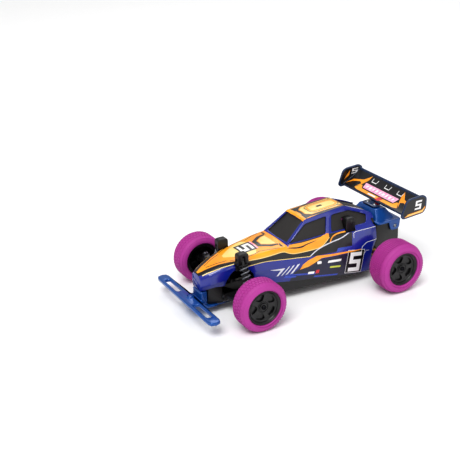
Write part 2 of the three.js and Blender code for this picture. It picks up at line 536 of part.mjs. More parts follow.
function shockBody() {
  const eye = bar(2.9, [0, -EYE / 2, 0], [0, EYE / 2, 0], 12);
  const neck = block([-2, -EYE / 2, -SHOCK_TUBE.seat + 1], [2, EYE / 2, 0]);
  const seat = bar(SHOCK_SEAT, [0, 0, -SHOCK_TUBE.seat], [0, 0, -SHOCK_TUBE.seat + 1.2]);
  const tube = bar(SHOCK_TUBE.radius, [0, 0, -SHOCK_TUBE.end], [0, 0, -SHOCK_TUBE.seat + 1]);
  const bore = bar(SHOCK_ROD.radius + GAP, [0, 0, -SHOCK_TUBE.end - 1], [0, 0, -SHOCK_TUBE.seat - 1], 12);
  const pinHole = bar(1.25 + GAP, [0, -3, 0], [0, 3, 0], 12);
  return cut(join(eye, neck, seat, tube), bore, pinHole);
}

function shockRod() {
  const rod = bar(SHOCK_ROD.radius, [0, 0, -SHOCK_LENGTH + 2], [0, 0, -SHOCK_ROD.top], 12);
  const cup = bar(SHOCK_SEAT, [0, 0, -SHOCK_ROD.cup - 1.4], [0, 0, -SHOCK_ROD.cup]);
  const shank = block([-1.8, -EYE / 2, -SHOCK_LENGTH], [1.8, EYE / 2, -SHOCK_ROD.cup - 1]);
  const eye = bar(2.6, [0, -EYE / 2, -SHOCK_LENGTH], [0, EYE / 2, -SHOCK_LENGTH], 12);
  const hole = bar(0.9 + 0.65, [0, -3, -SHOCK_LENGTH], [0, 3, -SHOCK_LENGTH], 12);
  return cut(join(rod, cup, shank, eye), hole);
}

class Coil extends THREE.Curve {
  constructor(radius, top, bottom, turns) {
    super();
    Object.assign(this, { radius, top, bottom, turns });
  }
  getPoint(t, target = new THREE.Vector3()) {
    const angle = t * this.turns * 2 * Math.PI;
    return target.set(this.radius * Math.cos(angle), this.radius * Math.sin(angle),
      THREE.MathUtils.lerp(this.top, this.bottom, t));
  }
}

function shockSpring() {
  const room = SPRING.wire / 2 + GAP;
  const path = new Coil(SPRING.radius, -SHOCK_TUBE.seat - room, -SHOCK_ROD.cup + room, SPRING.turns);
  const wire = new THREE.Shape().absarc(0, 0, SPRING.wire / 2, 0, 2 * Math.PI);
  return new THREE.ExtrudeGeometry(wire, { steps: Math.round(SPRING.turns * 8), extrudePath: path,
    curveSegments: 3 });
}

// Two forked caps on a cross beam, on a post that stands in the waist of the tub.
const TOWER = { post: 8.6, beamZ0: 46, beamZ1: 51.2, foot: 3, springRoom: SHOCK_SEAT + 0.6 };

function shockTower() {
  const { width, length, top, x } = CAP;
  const beam = block([-x - width / 2, SHOCK_Y - 2.9, TOWER.beamZ0], [x + width / 2, SHOCK_Y + 2.9,
    TOWER.beamZ1]);
  const postFront = SHOCK_Y - 10.5;
  const post = block([-TOWER.post, postFront, FLOOR_TOP + GAP], [TOWER.post, postFront + TOWER.foot,
    TOWER.beamZ1]);
  const bridge = block([-TOWER.post, postFront, TOWER.beamZ0], [TOWER.post, SHOCK_Y + 2.9, TOWER.beamZ1]);
  const caps = [1, -1].map((side) => prism("x", [
    [SHOCK_Y - length / 2, TOWER.beamZ0], [SHOCK_Y + length / 2, TOWER.beamZ0],
    [SHOCK_Y + length / 2, top, 3], [SHOCK_Y - length / 2, top, 3],
  ], side * x - width / 2, side * x + width / 2, 3));
  const fork = EYE / 2 + GAP;
  const slots = [1, -1].map((side) => {
    const [a, b] = [side * (x - 3.4), side * (x + 9)];
    return block([Math.min(a, b), SHOCK_Y - fork, 40], [Math.max(a, b), SHOCK_Y + fork, SHOCK_TOP.z + 3.6]);
  });
  const along = (distance, across) => [
    x + distance * Math.sin(SHOCK_LEAN) + across * Math.cos(SHOCK_LEAN),
    SHOCK_TOP.z - distance * Math.cos(SHOCK_LEAN) + across * Math.sin(SHOCK_LEAN),
  ];
  const springTop = SHOCK_TUBE.seat - 1.2 - GAP;
  const room = [along(springTop, -TOWER.springRoom), along(springTop, 14), [x + 18, 40], [x + 1, 40]];
  const rooms = [1, -1].map((side) => prism("y", room.map(([u, v]) => [side * u, v]),
    SHOCK_Y - length, SHOCK_Y + length));
  const pins = [1, -1].map((side) => bar(1.25, [side * SHOCK_TOP.x, SHOCK_Y - 5, SHOCK_TOP.z],
    [side * SHOCK_TOP.x, SHOCK_Y + 5, SHOCK_TOP.z], 12));
  return join(cut(join(beam, post, bridge, ...caps), ...slots, ...rooms), ...pins);
}

// ---------------------------------------------------------------- steering

const SLOT_REACH = 1.7; // half length of the slots that the steering pins slide in

function tieRod() {
  const { z0, z1, bar: width, end, pin } = TIE_ROD;
  const eyes = [-KINGPIN_X, 0, KINGPIN_X];
  const length = block([-KINGPIN_X, TIE_ROD_Y - width / 2, z0], [KINGPIN_X, TIE_ROD_Y + width / 2, z1]);
  const ends = eyes.map((x) => prism("z", [
    [x - 4.2, TIE_ROD_Y - end / 2, 1.5], [x + 4.2, TIE_ROD_Y - end / 2, 1.5],
    [x + 4.2, TIE_ROD_Y + end / 2, 1.5], [x - 4.2, TIE_ROD_Y + end / 2, 1.5],
  ], z0, z1));
  const slots = eyes.map((x) => {
    const shift = x === 0 ? 0.45 : -0.45;
    return block([x - pin - SLIDE_GAP, TIE_ROD_Y + shift - pin - SLOT_REACH + pin, z0 - 1],
      [x + pin + SLIDE_GAP, TIE_ROD_Y + shift + pin + SLOT_REACH - pin, z1 + 1]);
  });
  return cut(join(length, ...ends), ...slots);
}

const STEERING_BOX = { half: 12, front: HORN_Y - 5.5, rear: HORN_Y + 19, z1: 21.5, stub: 2 };

function steeringBox() {
  const { half, front, rear, z1 } = STEERING_BOX;
  const box = prism("z", [[-half, front, 2], [half, front, 2], [half, rear, 2], [-half, rear, 2]],
    FLOOR_TOP + GAP, z1);
  const dome = prism("z", [[-half + 4, front + 11.5, 2], [half - 4, front + 11.5, 2], [half - 4, rear - 1, 2],
    [-half + 4, rear - 1, 2]], z1 - 1, z1 + 4);
  const stub = bar(STEERING_BOX.stub, [0, HORN_Y, z1 - 1], [0, HORN_Y, z1 + 4.5], 16);
  return join(box, dome, stub);
}

function steeringHorn() {
  const z0 = STEERING_BOX.z1 + GAP, z1 = z0 + 2.6;
  const plate = prism("z", [
    [-4.2, HORN_Y + 4.2, 3], [-2.4, TIE_ROD_Y - 2.4, 1.5], [2.4, TIE_ROD_Y - 2.4, 1.5], [4.2,
      HORN_Y + 4.2, 3],
  ], z0, z1);
  const pin = bar(TIE_ROD.pin, [0, TIE_ROD_Y, TIE_ROD.z0 - 1], [0, TIE_ROD_Y, z0 + 1], 12);
  const bore = bar(STEERING_BOX.stub + GAP, [0, HORN_Y, z0 - 1], [0, HORN_Y, z1 + 1], 16);
  return cut(join(plate, pin), bore);
}

const TRIM = { radius: 4.5, stem: 1.6, lever: 8 };

function trimLever() {
  const z1 = GROUND_CLEARANCE - GAP;
  const disc = bar(TRIM.radius, [0, TRIM_Y, z1 - 1.3], [0, TRIM_Y, z1]);
  const tab = block([-1.3, TRIM_Y, z1 - 1.3], [1.3, TRIM_Y + TRIM.lever, z1]);
  return join(disc, tab, bar(TRIM.stem, [0, TRIM_Y, z1 - 1], [0, TRIM_Y, FLOOR_TOP], 16));
}

// ---------------------------------------------------------------- wheels (axis along x, centred)

const WHEEL_FACETS = 24;
const RIM = { inset: 2, dish: 3.2, faceThickness: 3, boss: 1.2, web: 0.9 };
const hubFace = ({ width }) => width / 2 - RIM.inset - RIM.dish + RIM.boss;
const polarPoint = (r, a) => [r * Math.cos(a), r * Math.sin(a)];

function tyre({ radius, width, rim }) {
  const w = width / 2, bead = w - RIM.inset - 1.5 - GAP, seat = rim - 1.5 + GAP, lip = rim + GAP;
  const side = [[seat, bead], [lip, bead], [lip, w - 1.3], [(rim + radius) / 2 - 1, w],
    [radius - 2.2, w - 1], [radius, w - 4.6]];
  const mirrored = side.map(([r, x]) => [r, -x]).reverse();
  return join(turnedX([...side, ...mirrored], WHEEL_FACETS));
}

// A deep rim with a recessed five-spoke face, a hub tube and blind pockets between the spokes.
function rim({ width, rim: radius, axleHole }, throughHub) {
  const w = width / 2 - RIM.inset, seat = radius - 1.5, bore = seat - 1.7;
  const barrel = turnedX([[bore, -w], [radius, -w], [radius, -w + 1.5], [seat, -w + 1.5],
    [seat, w - 1.5], [radius, w - 1.5], [radius, w], [bore, w - 3]], WHEEL_FACETS);
  const faceOuter = w - RIM.dish, faceInner = faceOuter - RIM.faceThickness;
  const round = Array.from({ length: WHEEL_FACETS }, (_, k) => polarPoint(bore + 0.8,
    k * 2 * Math.PI / WHEEL_FACETS));
  const face = outline(round);
  const spokes = 5, hub = 6.2, outer = bore - 1.6;
  for (let k = 0; k < spokes; k++) {
    const mid = (k + 0.5) * 2 * Math.PI / spokes;
    const polar = (r, a) => polarPoint(r, mid + a);
    face.holes.push(outline([
      polar(hub + 1.2, -0.2), polar(outer - 1, -0.45), polar(outer, -0.36), polar(outer + 0.6, 0),
      polar(outer, 0.36), polar(outer - 1, 0.45), polar(hub + 1.2, 0.2),
    ], THREE.Path));
  }
  const disc = prism("x", face, faceInner, faceOuter, 2);
  const web = prism("x", round, faceInner, faceInner + RIM.web);
  const hubTube = bar(4.4, [-w + 6, 0, 0], [faceOuter + RIM.boss, 0, 0], 16);
  const boreEnd = throughHub ? faceOuter + 2 : faceOuter - 0.6;
  const hole = bar(axleHole / 2, [-w, 0, 0], [boreEnd, 0, 0], 16);
  const screwHole = bar(SCREW.hole, [0, 0, 0], [w + 2, 0, 0], 12);
  return cut(join(barrel, disc, web, hubTube), hole, screwHole);
}

// ---------------------------------------------------------------- gears

// A spur gear along x with involute flanks, one tooth centred on the angle `turn` in the y-z plane.
function gear(teeth, turn, from, to, hole) {
  const pitch = GEAR_MODULE * teeth / 2, base = pitch * Math.cos(Math.PI / 9);
  const tip = pitch + GEAR_MODULE * 0.92, root = pitch - GEAR_MODULE * 1.2;
  const involute = (r) => { const a = Math.acos(Math.min(1, base / r)); return Math.tan(a) - a; };
  const backlash = 0.09 * GEAR_MODULE / pitch;
  const halfAt = (r) => Math.PI / (2 * teeth) - backlash + involute(pitch) - involute(Math.max(r, base));
  const radii = teeth > 20 ? [root, tip] : [root, pitch, tip];
  const points = [];
  for (let k = 0; k < teeth; k++) {
    const centre = turn + k * 2 * Math.PI / teeth;
    const flank = radii.map((r) => [r, halfAt(r)]);
    points.push(...flank.map(([r, a]) => polarPoint(r, centre - a)));
    points.push(...flank.reverse().map(([r, a]) => polarPoint(r, centre + a)));
  }
  const wheel = prism("x", points, from, to);
  return hole ? cut(wheel, bar(hole / 2, [from - 1, 0, 0], [to + 1, 0, 0], 16)) : wheel;
}

// Shaft places in the y-z plane, each a centre distance away from the one before.
const LINE_UP = 0.52; // angle of the gear train above level
const offset = (from, reach) => ({
  y: from.y + reach * Math.cos(LINE_UP), z: from.z + reach * Math.sin(LINE_UP),
});
const AXLE_AT = { y: REAR_AXLE_Y, z: REAR_AXLE_Z };
const COMPOUND_AT = offset(AXLE_AT, GEAR_MODULE * (AXLE_TEETH + COMPOUND_SMALL_TEETH) / 2);
const MOTOR_AT = offset(COMPOUND_AT, GEAR_MODULE * (COMPOUND_BIG_TEETH + PINION_TEETH) / 2);
const COMPOUND_PIN = 2.2;
const GEAR_X = { bigFrom: 9, bigTo: 12.4, smallTo: 18, axleFrom: 13.6, axleTo: 17.4, pinionFrom: 8.4,
  pinionTo: 13 };

const axleGear = () => gear(AXLE_TEETH, LINE_UP, GEAR_X.axleFrom, GEAR_X.axleTo, REAR_WHEEL.axle + 0.7);

function compoundGear() {
  const facing = LINE_UP + Math.PI;
  const small = gear(COMPOUND_SMALL_TEETH, facing + Math.PI / COMPOUND_SMALL_TEETH, GEAR_X.bigTo - 0.5,
    GEAR_X.smallTo, 0);
  const big = gear(COMPOUND_BIG_TEETH, LINE_UP, GEAR_X.bigFrom, GEAR_X.bigTo, 0);
  return cut(join(small, big), bar(COMPOUND_PIN / 2 + GAP, [0, 0, 0], [GEAR_X.smallTo + 1, 0, 0], 16));
}

function motorPinion() {
  const facing = LINE_UP + Math.PI;
  const teeth = gear(PINION_TEETH, facing + Math.PI / PINION_TEETH, GEAR_X.pinionFrom, GEAR_X.pinionTo, 0);
  return join(teeth, bar(MOTOR.shaft / 2, [MOTOR_X0 + 6, 0, 0], [GEAR_X.pinionTo, 0, 0], 12));
}

const MOTOR_X1 = 4.6;
const MOTOR_X0 = MOTOR_X1 - MOTOR.length;

function driveMotor() {
  const can = bar(MOTOR.radius, [MOTOR_X0, 0, 0], [MOTOR_X1, 0, 0], 32);
  const boss = bar(3, [MOTOR_X1 - 1, 0, 0], [MOTOR_X1 + 1.4, 0, 0]);
  const tags = [1, -1].map((side) => block([MOTOR_X0 - 2, side * 5 - 1, -0.3], [MOTOR_X0 + 1,
    side * 5 + 1, 0.3]));
  const bore = bar(MOTOR.shaft / 2 + GAP, [MOTOR_X0 + 5, 0, 0], [MOTOR_X1 + 3, 0, 0], 12);
  return cut(join(can, boss, ...tags), bore);
}

// ---------------------------------------------------------------- rear gearbox

const BOX_FRONT_Y = AXLE_AT.y - GEAR_MODULE * (AXLE_TEETH + 2) / 2 - 0.9 - GEARBOX_WALL;
const BOX_REAR_Y = MOTOR_AT.y + MOTOR.radius + 0.5 + GEARBOX_WALL;
const SHOULDER_Z = AXLE_AT.z + GEAR_MODULE * (AXLE_TEETH + 2) / 2 + 0.8 + GEARBOX_WALL;

function gearboxHalf(profile, cavity, z0, z1) {
  const w = GEARBOX_HALF_WIDTH, t = GEARBOX_WALL;
  const body = join(prism("x", profile, -w, w, 4), ...[1, -1].map((side) =>
    bar(6.6, [side * (w - 1), AXLE_AT.y, AXLE_AT.z], [side * (w + 5), AXLE_AT.y, AXLE_AT.z], 16)));
  const half = common(body, block([-FAR, 0, z0], [FAR, 300, z1]));
  const seats = [1, -1].map((side) => bar(BUSHING.radius + GAP,
    [side * (w - t - 1), AXLE_AT.y, AXLE_AT.z], [side * (w + 6), AXLE_AT.y, AXLE_AT.z], 16));
  return cut(half, prism("x", cavity, -w + t, w - t), ...seats);
}

function bearingPlates() {
  const [y, z] = [COMPOUND_AT.y, COMPOUND_AT.z];
  return [[5.3, 7.2], [20.4, 22.4]].map(([x0, x1]) => cut(prism("x", [
    [y - 4, GROUND_CLEARANCE + 1], [y + 1.2, GROUND_CLEARANCE + 1], [y + 3.4, z - 1], [y + 3.4, z + 3.4, 2],
    [y - 3.4, z + 3.4, 2], [y - 4, z - 6],
  ], x0, x1), bar(COMPOUND_PIN / 2 + GAP, [0, y, z], [FAR, y, z], 12)));
}

function gearboxLower() {
  const t = GEARBOX_WALL, floor = GROUND_CLEARANCE, split = AXLE_AT.z - GAP / 2;
  const shell = gearboxHalf(
    [[BOX_FRONT_Y, split + 9], [BOX_FRONT_Y, floor + 2, 3], [BOX_FRONT_Y + 7, floor, 2],
      [BOX_REAR_Y - 12, floor, 5],
      [BOX_REAR_Y, floor + 9, 5], [BOX_REAR_Y, split + 9]],
    [[BOX_FRONT_Y + t, split + 9], [BOX_FRONT_Y + t, floor + t + 2, 2], [BOX_FRONT_Y + t + 6, floor + t, 2],
      [BOX_REAR_Y - t - 11, floor + t, 4], [BOX_REAR_Y - t, floor + t + 8.4, 4], [BOX_REAR_Y - t, split + 9]],
    floor, split);
  const saddle = (x) => cut(
    block([x, MOTOR_AT.y - 9, floor + 1], [x + 2, BOX_REAR_Y - t + 0.5, MOTOR_AT.z - 1.2]),
    bar(MOTOR.radius + GAP, [x - 1, MOTOR_AT.y, MOTOR_AT.z], [x + 3, MOTOR_AT.y, MOTOR_AT.z], 32),
    block([x - 1, MOTOR_AT.y - 30, split], [x + 3, COMPOUND_AT.y + 4, split + 40]),
    block([x - 1, BOX_REAR_Y - t - GAP, split], [x + 3, BOX_REAR_Y + 9, split + 40]),
    block([x - 1, BOX_REAR_Y - 14, 0], [x + 3, BOX_REAR_Y + 9, floor + 9]));
  return join(shell, ...bearingPlates(), saddle(MOTOR_X0 + 4), saddle(MOTOR_X1 - 5));
}

function gearboxUpper() {
  const t = GEARBOX_WALL, split = AXLE_AT.z + GAP / 2, top = GEARBOX_TOP, step = COMPOUND_AT.y - 8.5;
  return gearboxHalf(
    [[BOX_FRONT_Y, split - 9], [BOX_FRONT_Y, SHOULDER_Z - 3, 3], [BOX_FRONT_Y + 7, SHOULDER_Z, 3],
      [step - 3, SHOULDER_Z + 2, 2],
      [step + 2, top, 2], [BOX_REAR_Y, top, 3], [BOX_REAR_Y, split - 9]].reverse(),
    [[BOX_FRONT_Y + t, split - 9], [BOX_FRONT_Y + t, SHOULDER_Z - t - 3, 2], [BOX_FRONT_Y + 7 + t,
      SHOULDER_Z - t, 2],
      [step - 3 + t, SHOULDER_Z + 2 - t, 1], [step + 2 + t, top - t, 1], [BOX_REAR_Y - t, top - t, 2],
      [BOX_REAR_Y - t, split - 9]].reverse(),
    split, top + 5);
}

const bushing = () => cut(bar(BUSHING.radius, [0, 0, 0], [BUSHING.length, 0, 0], 16),
  bar(REAR_WHEEL.axle / 2 + GAP, [-1, 0, 0], [BUSHING.length + 1, 0, 0], 16));

const AXLE_END = REAR_TRACK / 2 + REAR_WHEEL.width / 2 - 6.2;
const rearAxle = () => cut(bar(REAR_WHEEL.axle / 2, [-AXLE_END, 0, 0], [AXLE_END, 0, 0]),
  ...[1, -1].map((side) => bar(SCREW.hole, [side * (AXLE_END - 6), 0, 0], [side * (AXLE_END + 1), 0, 0],
    12)));

// ---------------------------------------------------------------- wing mount and wing

const MOUNT_Z = GEARBOX_TOP + GAP;
const MOUNT_TOP = 72;
const MOUNT_FRONT_Y = TAIL_Y + 1.2;

// A saddle over the gearbox: base plate, rear and side flanges, and a hollow raised seat.
function wingMount() {
  const w = GEARBOX_HALF_WIDTH + GAP, rear = BOX_REAR_Y + GAP;
  const front = COMPOUND_AT.y - 6;
  const plate = prism("z", [[-w - 1.6, front, 2], [w + 1.6, front, 2], [w + 1.6, rear + 1.8, 4],
    [-w - 1.6, rear + 1.8, 4]],
    MOUNT_Z, MOUNT_Z + 2.2);
  const rearFlange = prism("x", [[rear, 49], [rear + 1.8, 49], [rear + 1.8, MOUNT_Z + 1.5], [rear,
    MOUNT_Z + 1.5]],
    -w + 4, w - 4);
  const sideLugs = [1, -1].map((side) => cut(prism("x", [
    [rear - 13, 48.5, 4], [rear - 1, 48.5, 4], [rear + 0.6, MOUNT_Z + 1.5], [rear - 16, MOUNT_Z + 1.5],
  ], Math.min(side * w, side * (w + 1.6)), Math.max(side * w, side * (w + 1.6)), 4),
  bar(2, [side * (w - 1), rear - 7, 53.5], [side * (w + 3), rear - 7, 53.5], 16)));
  const frustum = (bottomHalf, topHalf, y0, y1, inset, z0, z1) => loft([[z0, bottomHalf, y0, y1], [z1,
    topHalf, y0 + 5, y1 - 8]]
    .map(([z, half, a, b]) => [[half - inset, a + inset], [half - inset, b - inset], [inset - half,
      b - inset],
      [inset - half, a + inset]].map(([x, y]) => [x, z, y])))
    .rotateX(Math.PI / 2).scale(1, -1, 1);
  const seatSpan = [MOUNT_FRONT_Y + 1.5, rear - 3];
  const seat = frustum(24, 15.5, ...seatSpan, 0, MOUNT_Z + 1, MOUNT_TOP);
  const seatInside = frustum(24, 15.5, ...seatSpan, 1.6, MOUNT_Z - 1, MOUNT_TOP - 1.8);
  const screwHoles = [1, -1].map((side) => bar(SCREW.hole,
    [side * WING_SCREW_X, WING_POST_Y, 60], [side * WING_SCREW_X, WING_POST_Y, MOUNT_TOP + 1], 12));
  return cut(join(plate, rearFlange, ...sideLugs, seat), seatInside, ...screwHoles);
}

const WING_POST_Y = MOUNT_FRONT_Y + 11.5;
const WING_SCREW_X = 6.5;
const BLADE = { frontY: REAR_AXLE_Y + 20.6, frontZ: 79, rearY: REAR_AXLE_Y + 46.2, rearZ: 94.4,
  thickness: 2 };

function rearWing() {
  const half = WING_SPAN / 2;
  const { frontY, frontZ, rearY, rearZ, thickness } = BLADE;
  const sag = (t) => -4 * 1.6 * t * (1 - t);
  const steps = [0, 0.2, 0.4, 0.6, 0.8, 1];
  const line = (lift) => steps.map((t) => [frontY + (rearY - frontY) * t,
    frontZ + (rearZ - frontZ) * t + sag(t) + lift]);
  const blade = prism("x", [...line(-thickness), ...line(0).reverse()], -half + 0.5, half - 0.5);
  const lip = bar(1.5, [-half + 0.5, rearY, rearZ - 0.8], [half - 0.5, rearY, rearZ - 0.8], 12);
  const plates = [1, -1].map((side) => prism("x", [
    [frontY - 6.2, 78.8, 1.5], [frontY - 3.6, 75.2, 2.5], [rearY - 0.7, 77.2, 3], [rearY + 3.4, 82.5, 3],
    [rearY + 3.6, 95.4, 3], [rearY - 1.6, 99.2, 3], [frontY + 5, 98, 3], [frontY, 95.2, 3],
  ].reverse(), Math.min(side * half, side * (half - END_PLATE)), Math.max(side * half,
    side * (half - END_PLATE)), 4));
  const foot = prism("z", [[-11, WING_POST_Y - 5, 3], [11, WING_POST_Y - 5, 3], [11, WING_POST_Y + 6, 3],
    [-11, WING_POST_Y + 6, 3]], MOUNT_TOP + GAP, MOUNT_TOP + GAP + 2.2);
  const pylon = prism("x", [
    [WING_POST_Y - 1, MOUNT_TOP + GAP], [WING_POST_Y + 6, MOUNT_TOP + GAP], [frontY + 12, frontZ + 4],
      [frontY + 5, frontZ + 1.2],
    [frontY + 1, frontZ - 0.6],
  ], -3.2, 3.2);
  const holes = [1, -1].map((side) => bar(SCREW.hole, [side * WING_SCREW_X, WING_POST_Y, 60],
    [side * WING_SCREW_X, WING_POST_Y, MOUNT_TOP + 2.7], 12));
  return cut(join(blade, lip, ...plates, foot, pylon), ...holes);
}

// ---------------------------------------------------------------- rear caps and electrics

function rearCap() {
  const { width, length, top, y } = REAR_CAP;
  const slab = prism("x", [
    [y - length / 2, BELT_Z - 2], [y + length / 2, BELT_Z - 2], [y + length / 2, top, 3.5],
      [y - length / 2, top, 3.5],
  ], -width / 2, width / 2, 4);
  return join(slab, bar(2.4, [width / 2 - 1, y + 2.4, top - 5], [width / 2 + 0.8, y + 2.4, top - 5]));
}

function batteryBox() {
  const half = BATTERY.half, top = FLOOR_TOP + GAP + CELL.radius * 2 + 1;
  const outer = block([-half - BOX_WALL, BATTERY.front - BOX_WALL, FLOOR_TOP + GAP],
    [half + BOX_WALL, BATTERY.rear + BOX_WALL, top + BOX_WALL]);
  const inner = block([-half, BATTERY.front, FLOOR_TOP], [half, BATTERY.rear, top]);
  const posts = [-1, 1].flatMap((a) => [-1, 1].map((b) => bar(1.8, [a * 12, BATTERY_MID + b * 15, top],
    [a * 12, BATTERY_MID + b * 15, top + BOX_WALL + 3], 12)));
  return join(cut(outer, inner), ...posts);
}

const BATTERY_MID = (BATTERY.front + BATTERY.rear) / 2;
const BOARD_Z = FLOOR_TOP + GAP + CELL.radius * 2 + 1 + BOX_WALL + 3 + GAP;

const batteryCell = () => join(
  bar(CELL.radius, [0, -CELL.length / 2 + 1.4, 0], [0, CELL.length / 2, 0], 16),
  bar(2.6, [0, -CELL.length / 2, 0], [0, -CELL.length / 2 + 2, 0], 16));

function batteryDoor() {
  const room = GAP + 0.05, half = BATTERY.half - room;
  const plate = block([-half, BATTERY.front + room, GROUND_CLEARANCE], [half, BATTERY.rear - room,
    FLOOR_TOP - 0.2]);
  const ribs = [-1, 0, 1].map((k) => block([k * 14 - 4, BATTERY_MID - 18, GROUND_CLEARANCE - 1],
    [k * 14 + 4, BATTERY_MID + 18, GROUND_CLEARANCE - 0.6]));
  const grooves = ribs.map((g) => g.translate(0, 0, 0.9));
  return cut(plate, ...grooves);
}

function receiverBoard() {
  const z = BOARD_Z;
  return join(
    block([-15, BATTERY_MID - 18, z], [15, BATTERY_MID + 18, z + 1.2]),
    block([-5, BATTERY_MID - 5, z + 1], [5, BATTERY_MID + 3, z + 2.8]),
    block([-12, BATTERY_MID + 8, z + 1], [-4, BATTERY_MID + 14, z + 6]),
    bar(3, [9, BATTERY_MID + 9, z + 1], [9, BATTERY_MID + 9, z + 9], 16),
    block([3, BATTERY_MID - 15, z + 1], [13, BATTERY_MID - 11, z + 4.6]));
}

const SWITCH = { width: 4, length: 4, travel: 4 };

function powerSwitch() {
  const z0 = GROUND_CLEARANCE - 1;
  return join(
    block([-SWITCH.width / 2, SWITCH_Y - SWITCH.length / 2, z0], [SWITCH.width / 2,
      SWITCH_Y + SWITCH.length / 2, FLOOR_TOP + 1]),
    block([-4.5, SWITCH_Y - 5.2, FLOOR_TOP + GAP], [4.5, SWITCH_Y + 5.2, FLOOR_TOP + GAP + 1.4]));
}

// ---------------------------------------------------------------- assembly

const finish = (color, roughness, metalness = 0) => new THREE.MeshStandardMaterial({ color, roughness,
  metalness });
const BLACK_ABS = finish("#1b1a1c", 0.5);
const BLUE_SHELL = finish("#26368a", 0.25);
const BLUE_MOULDING = finish("#1b5a9c", 0.25, 0.2);
const DARK_WINDOW = finish("#2a2826", 0.7);
const RUBBER = finish("#b8439a", 0.75);
const STEEL = finish("#9a9da2", 0.3, 1);
const SPRING_WIRE = finish("#77797d", 0.4, 0.8);
const NYLON = finish("#e6e3da", 0.5);
const BRASS = finish("#c39a4a", 0.35, 1);
const BOARD_GREEN = finish("#1f6b3a", 0.5);
const CELL_WRAP = finish("#c9c4b6", 0.4);

const group = new THREE.Group();

function add(name, geometry, material, { parent = group, position = [0, 0, 0], rotation = [0, 0, 0] } = {}) {
  const mesh = new THREE.Mesh(geometry, material);
  mesh.name = name;
  mesh.position.set(...position);
  mesh.rotation.set(...rotation);
  parent.add(mesh);
  return mesh;
}

add("chassis_tub", chassisTub(), BLACK_ABS);
add("body_shell", bodyShell(), BLUE_SHELL);
add("window_insert", windowInsert(), DARK_WINDOW);
add("front_bumper", frontBumper(), BLUE_MOULDING);
add("shock_tower", shockTower(), BLACK_ABS);
add("steering_box", steeringBox(), BLACK_ABS);
add("steering_horn", steeringHorn(), NYLON);
add("tie_rod", tieRod(), BLACK_ABS);
add("trim_lever", trimLever(), BLACK_ABS);
add("battery_box", batteryBox(), BLACK_ABS);
add("battery_door", batteryDoor(), BLACK_ABS);
add("receiver_board", receiverBoard(), BOARD_GREEN);
add("power_switch", powerSwitch(), BLACK_ABS);
add("gearbox_lower", gearboxLower(), BLACK_ABS);
add("gearbox_upper", gearboxUpper(), BLACK_ABS);
add("wing_mount", wingMount(), BLUE_MOULDING);
add("rear_wing", rearWing(), BLUE_MOULDING);

const cellMesh = batteryCell();
[-1.5, -0.5, 0.5, 1.5].forEach((k, i) => add(`battery_cell_${i + 1}`, cellMesh, CELL_WRAP, {
  position: [k * CELL.spacing, BATTERY_MID, FLOOR_TOP + GAP + CELL.radius + 0.3],
  rotation: [0, 0, i % 2 ? Math.PI : 0],
}));

const atAxle = [0, AXLE_AT.y, AXLE_AT.z], atCompound = [0, COMPOUND_AT.y, COMPOUND_AT.z];
const atMotor = [0, MOTOR_AT.y, MOTOR_AT.z];
add("drive_motor", driveMotor(), STEEL, { position: atMotor });
add("motor_pinion", motorPinion(), BRASS, { position: atMotor });
add("compound_gear", compoundGear(), NYLON, { position: atCompound });
add("compound_pin", bar(COMPOUND_PIN / 2, [5.6, 0, 0], [22.2, 0, 0], 12), STEEL, { position: atCompound });
add("axle_gear", axleGear(), NYLON, { position: atAxle });
add("rear_axle", rearAxle(), STEEL, { position: atAxle });

const frontRimMesh = rim(FRONT_WHEEL, true), frontTyreMesh = tyre(FRONT_WHEEL);
const rearRimMesh = rim(REAR_WHEEL, false), rearTyreMesh = tyre(REAR_WHEEL);
const shortScrew = screw(6);

// Each corner is made on the left side; the right one is its mirror image.
for (const [side, sign] of [["left", 1], ["right", -1]]) {
  const half = new THREE.Group();
  half.scale.x = sign;
  group.add(half);
  const put = (name, geometry, material, place = {}) =>
    add(`${name}_${side}`, geometry, material, { parent: half, ...place });

  put("front_arm", frontArm(), BLACK_ABS);
  put("arm_pin", armPin(), STEEL);
  put("kingpin", kingpin(), STEEL);
  put("knuckle", knuckle(), BLACK_ABS);

  const leaning = { position: [SHOCK_TOP.x, SHOCK_Y, SHOCK_TOP.z], rotation: [0, -SHOCK_LEAN, 0] };
  put("shock_body", shockBody(), BLACK_ABS, leaning);
  put("shock_rod", shockRod(), STEEL, leaning);
  put("shock_spring", shockSpring(), SPRING_WIRE, leaning);

  const frontHub = [FRONT_TRACK / 2, FRONT_AXLE_Y, FRONT_AXLE_Z];
  const rearHub = [REAR_TRACK / 2, REAR_AXLE_Y, REAR_AXLE_Z];
  const screwTurn = [0, -Math.PI / 2, 0];
  put("front_rim", frontRimMesh, BLACK_ABS, { position: frontHub });
  put("front_tyre", frontTyreMesh, RUBBER, { position: frontHub });
  put("front_wheel_screw", shortScrew, STEEL, {
    position: [frontHub[0] + hubFace(FRONT_WHEEL) + GAP, frontHub[1], frontHub[2]], rotation: screwTurn });
  put("rear_rim", rearRimMesh, BLACK_ABS, { position: rearHub });
  put("rear_tyre", rearTyreMesh, RUBBER, { position: rearHub });
  put("rear_wheel_screw", shortScrew, STEEL, {
    position: [rearHub[0] + hubFace(REAR_WHEEL) + GAP, rearHub[1], rearHub[2]], rotation: screwTurn });

  put("axle_bushing", bushing(), BRASS, { position: [GEARBOX_HALF_WIDTH - 1, REAR_AXLE_Y, REAR_AXLE_Z] });
  put("rear_cap", rearCap(), BLACK_ABS, { position: [REAR_CAP.x, 0, 0] });
  put("bumper_screw", shortScrew, STEEL, { position: [BUMPER_SCREW_X, BUMPER_SCREW_Y, BEND_Z - 2.4 - GAP] });
}

export default group;
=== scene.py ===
"""A small off-road racing buggy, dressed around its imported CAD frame.

Sizes are in millimetres and become metres where a mesh is made. The car drives towards -Y, its
left side is +X and it stands on z = 0.
"""

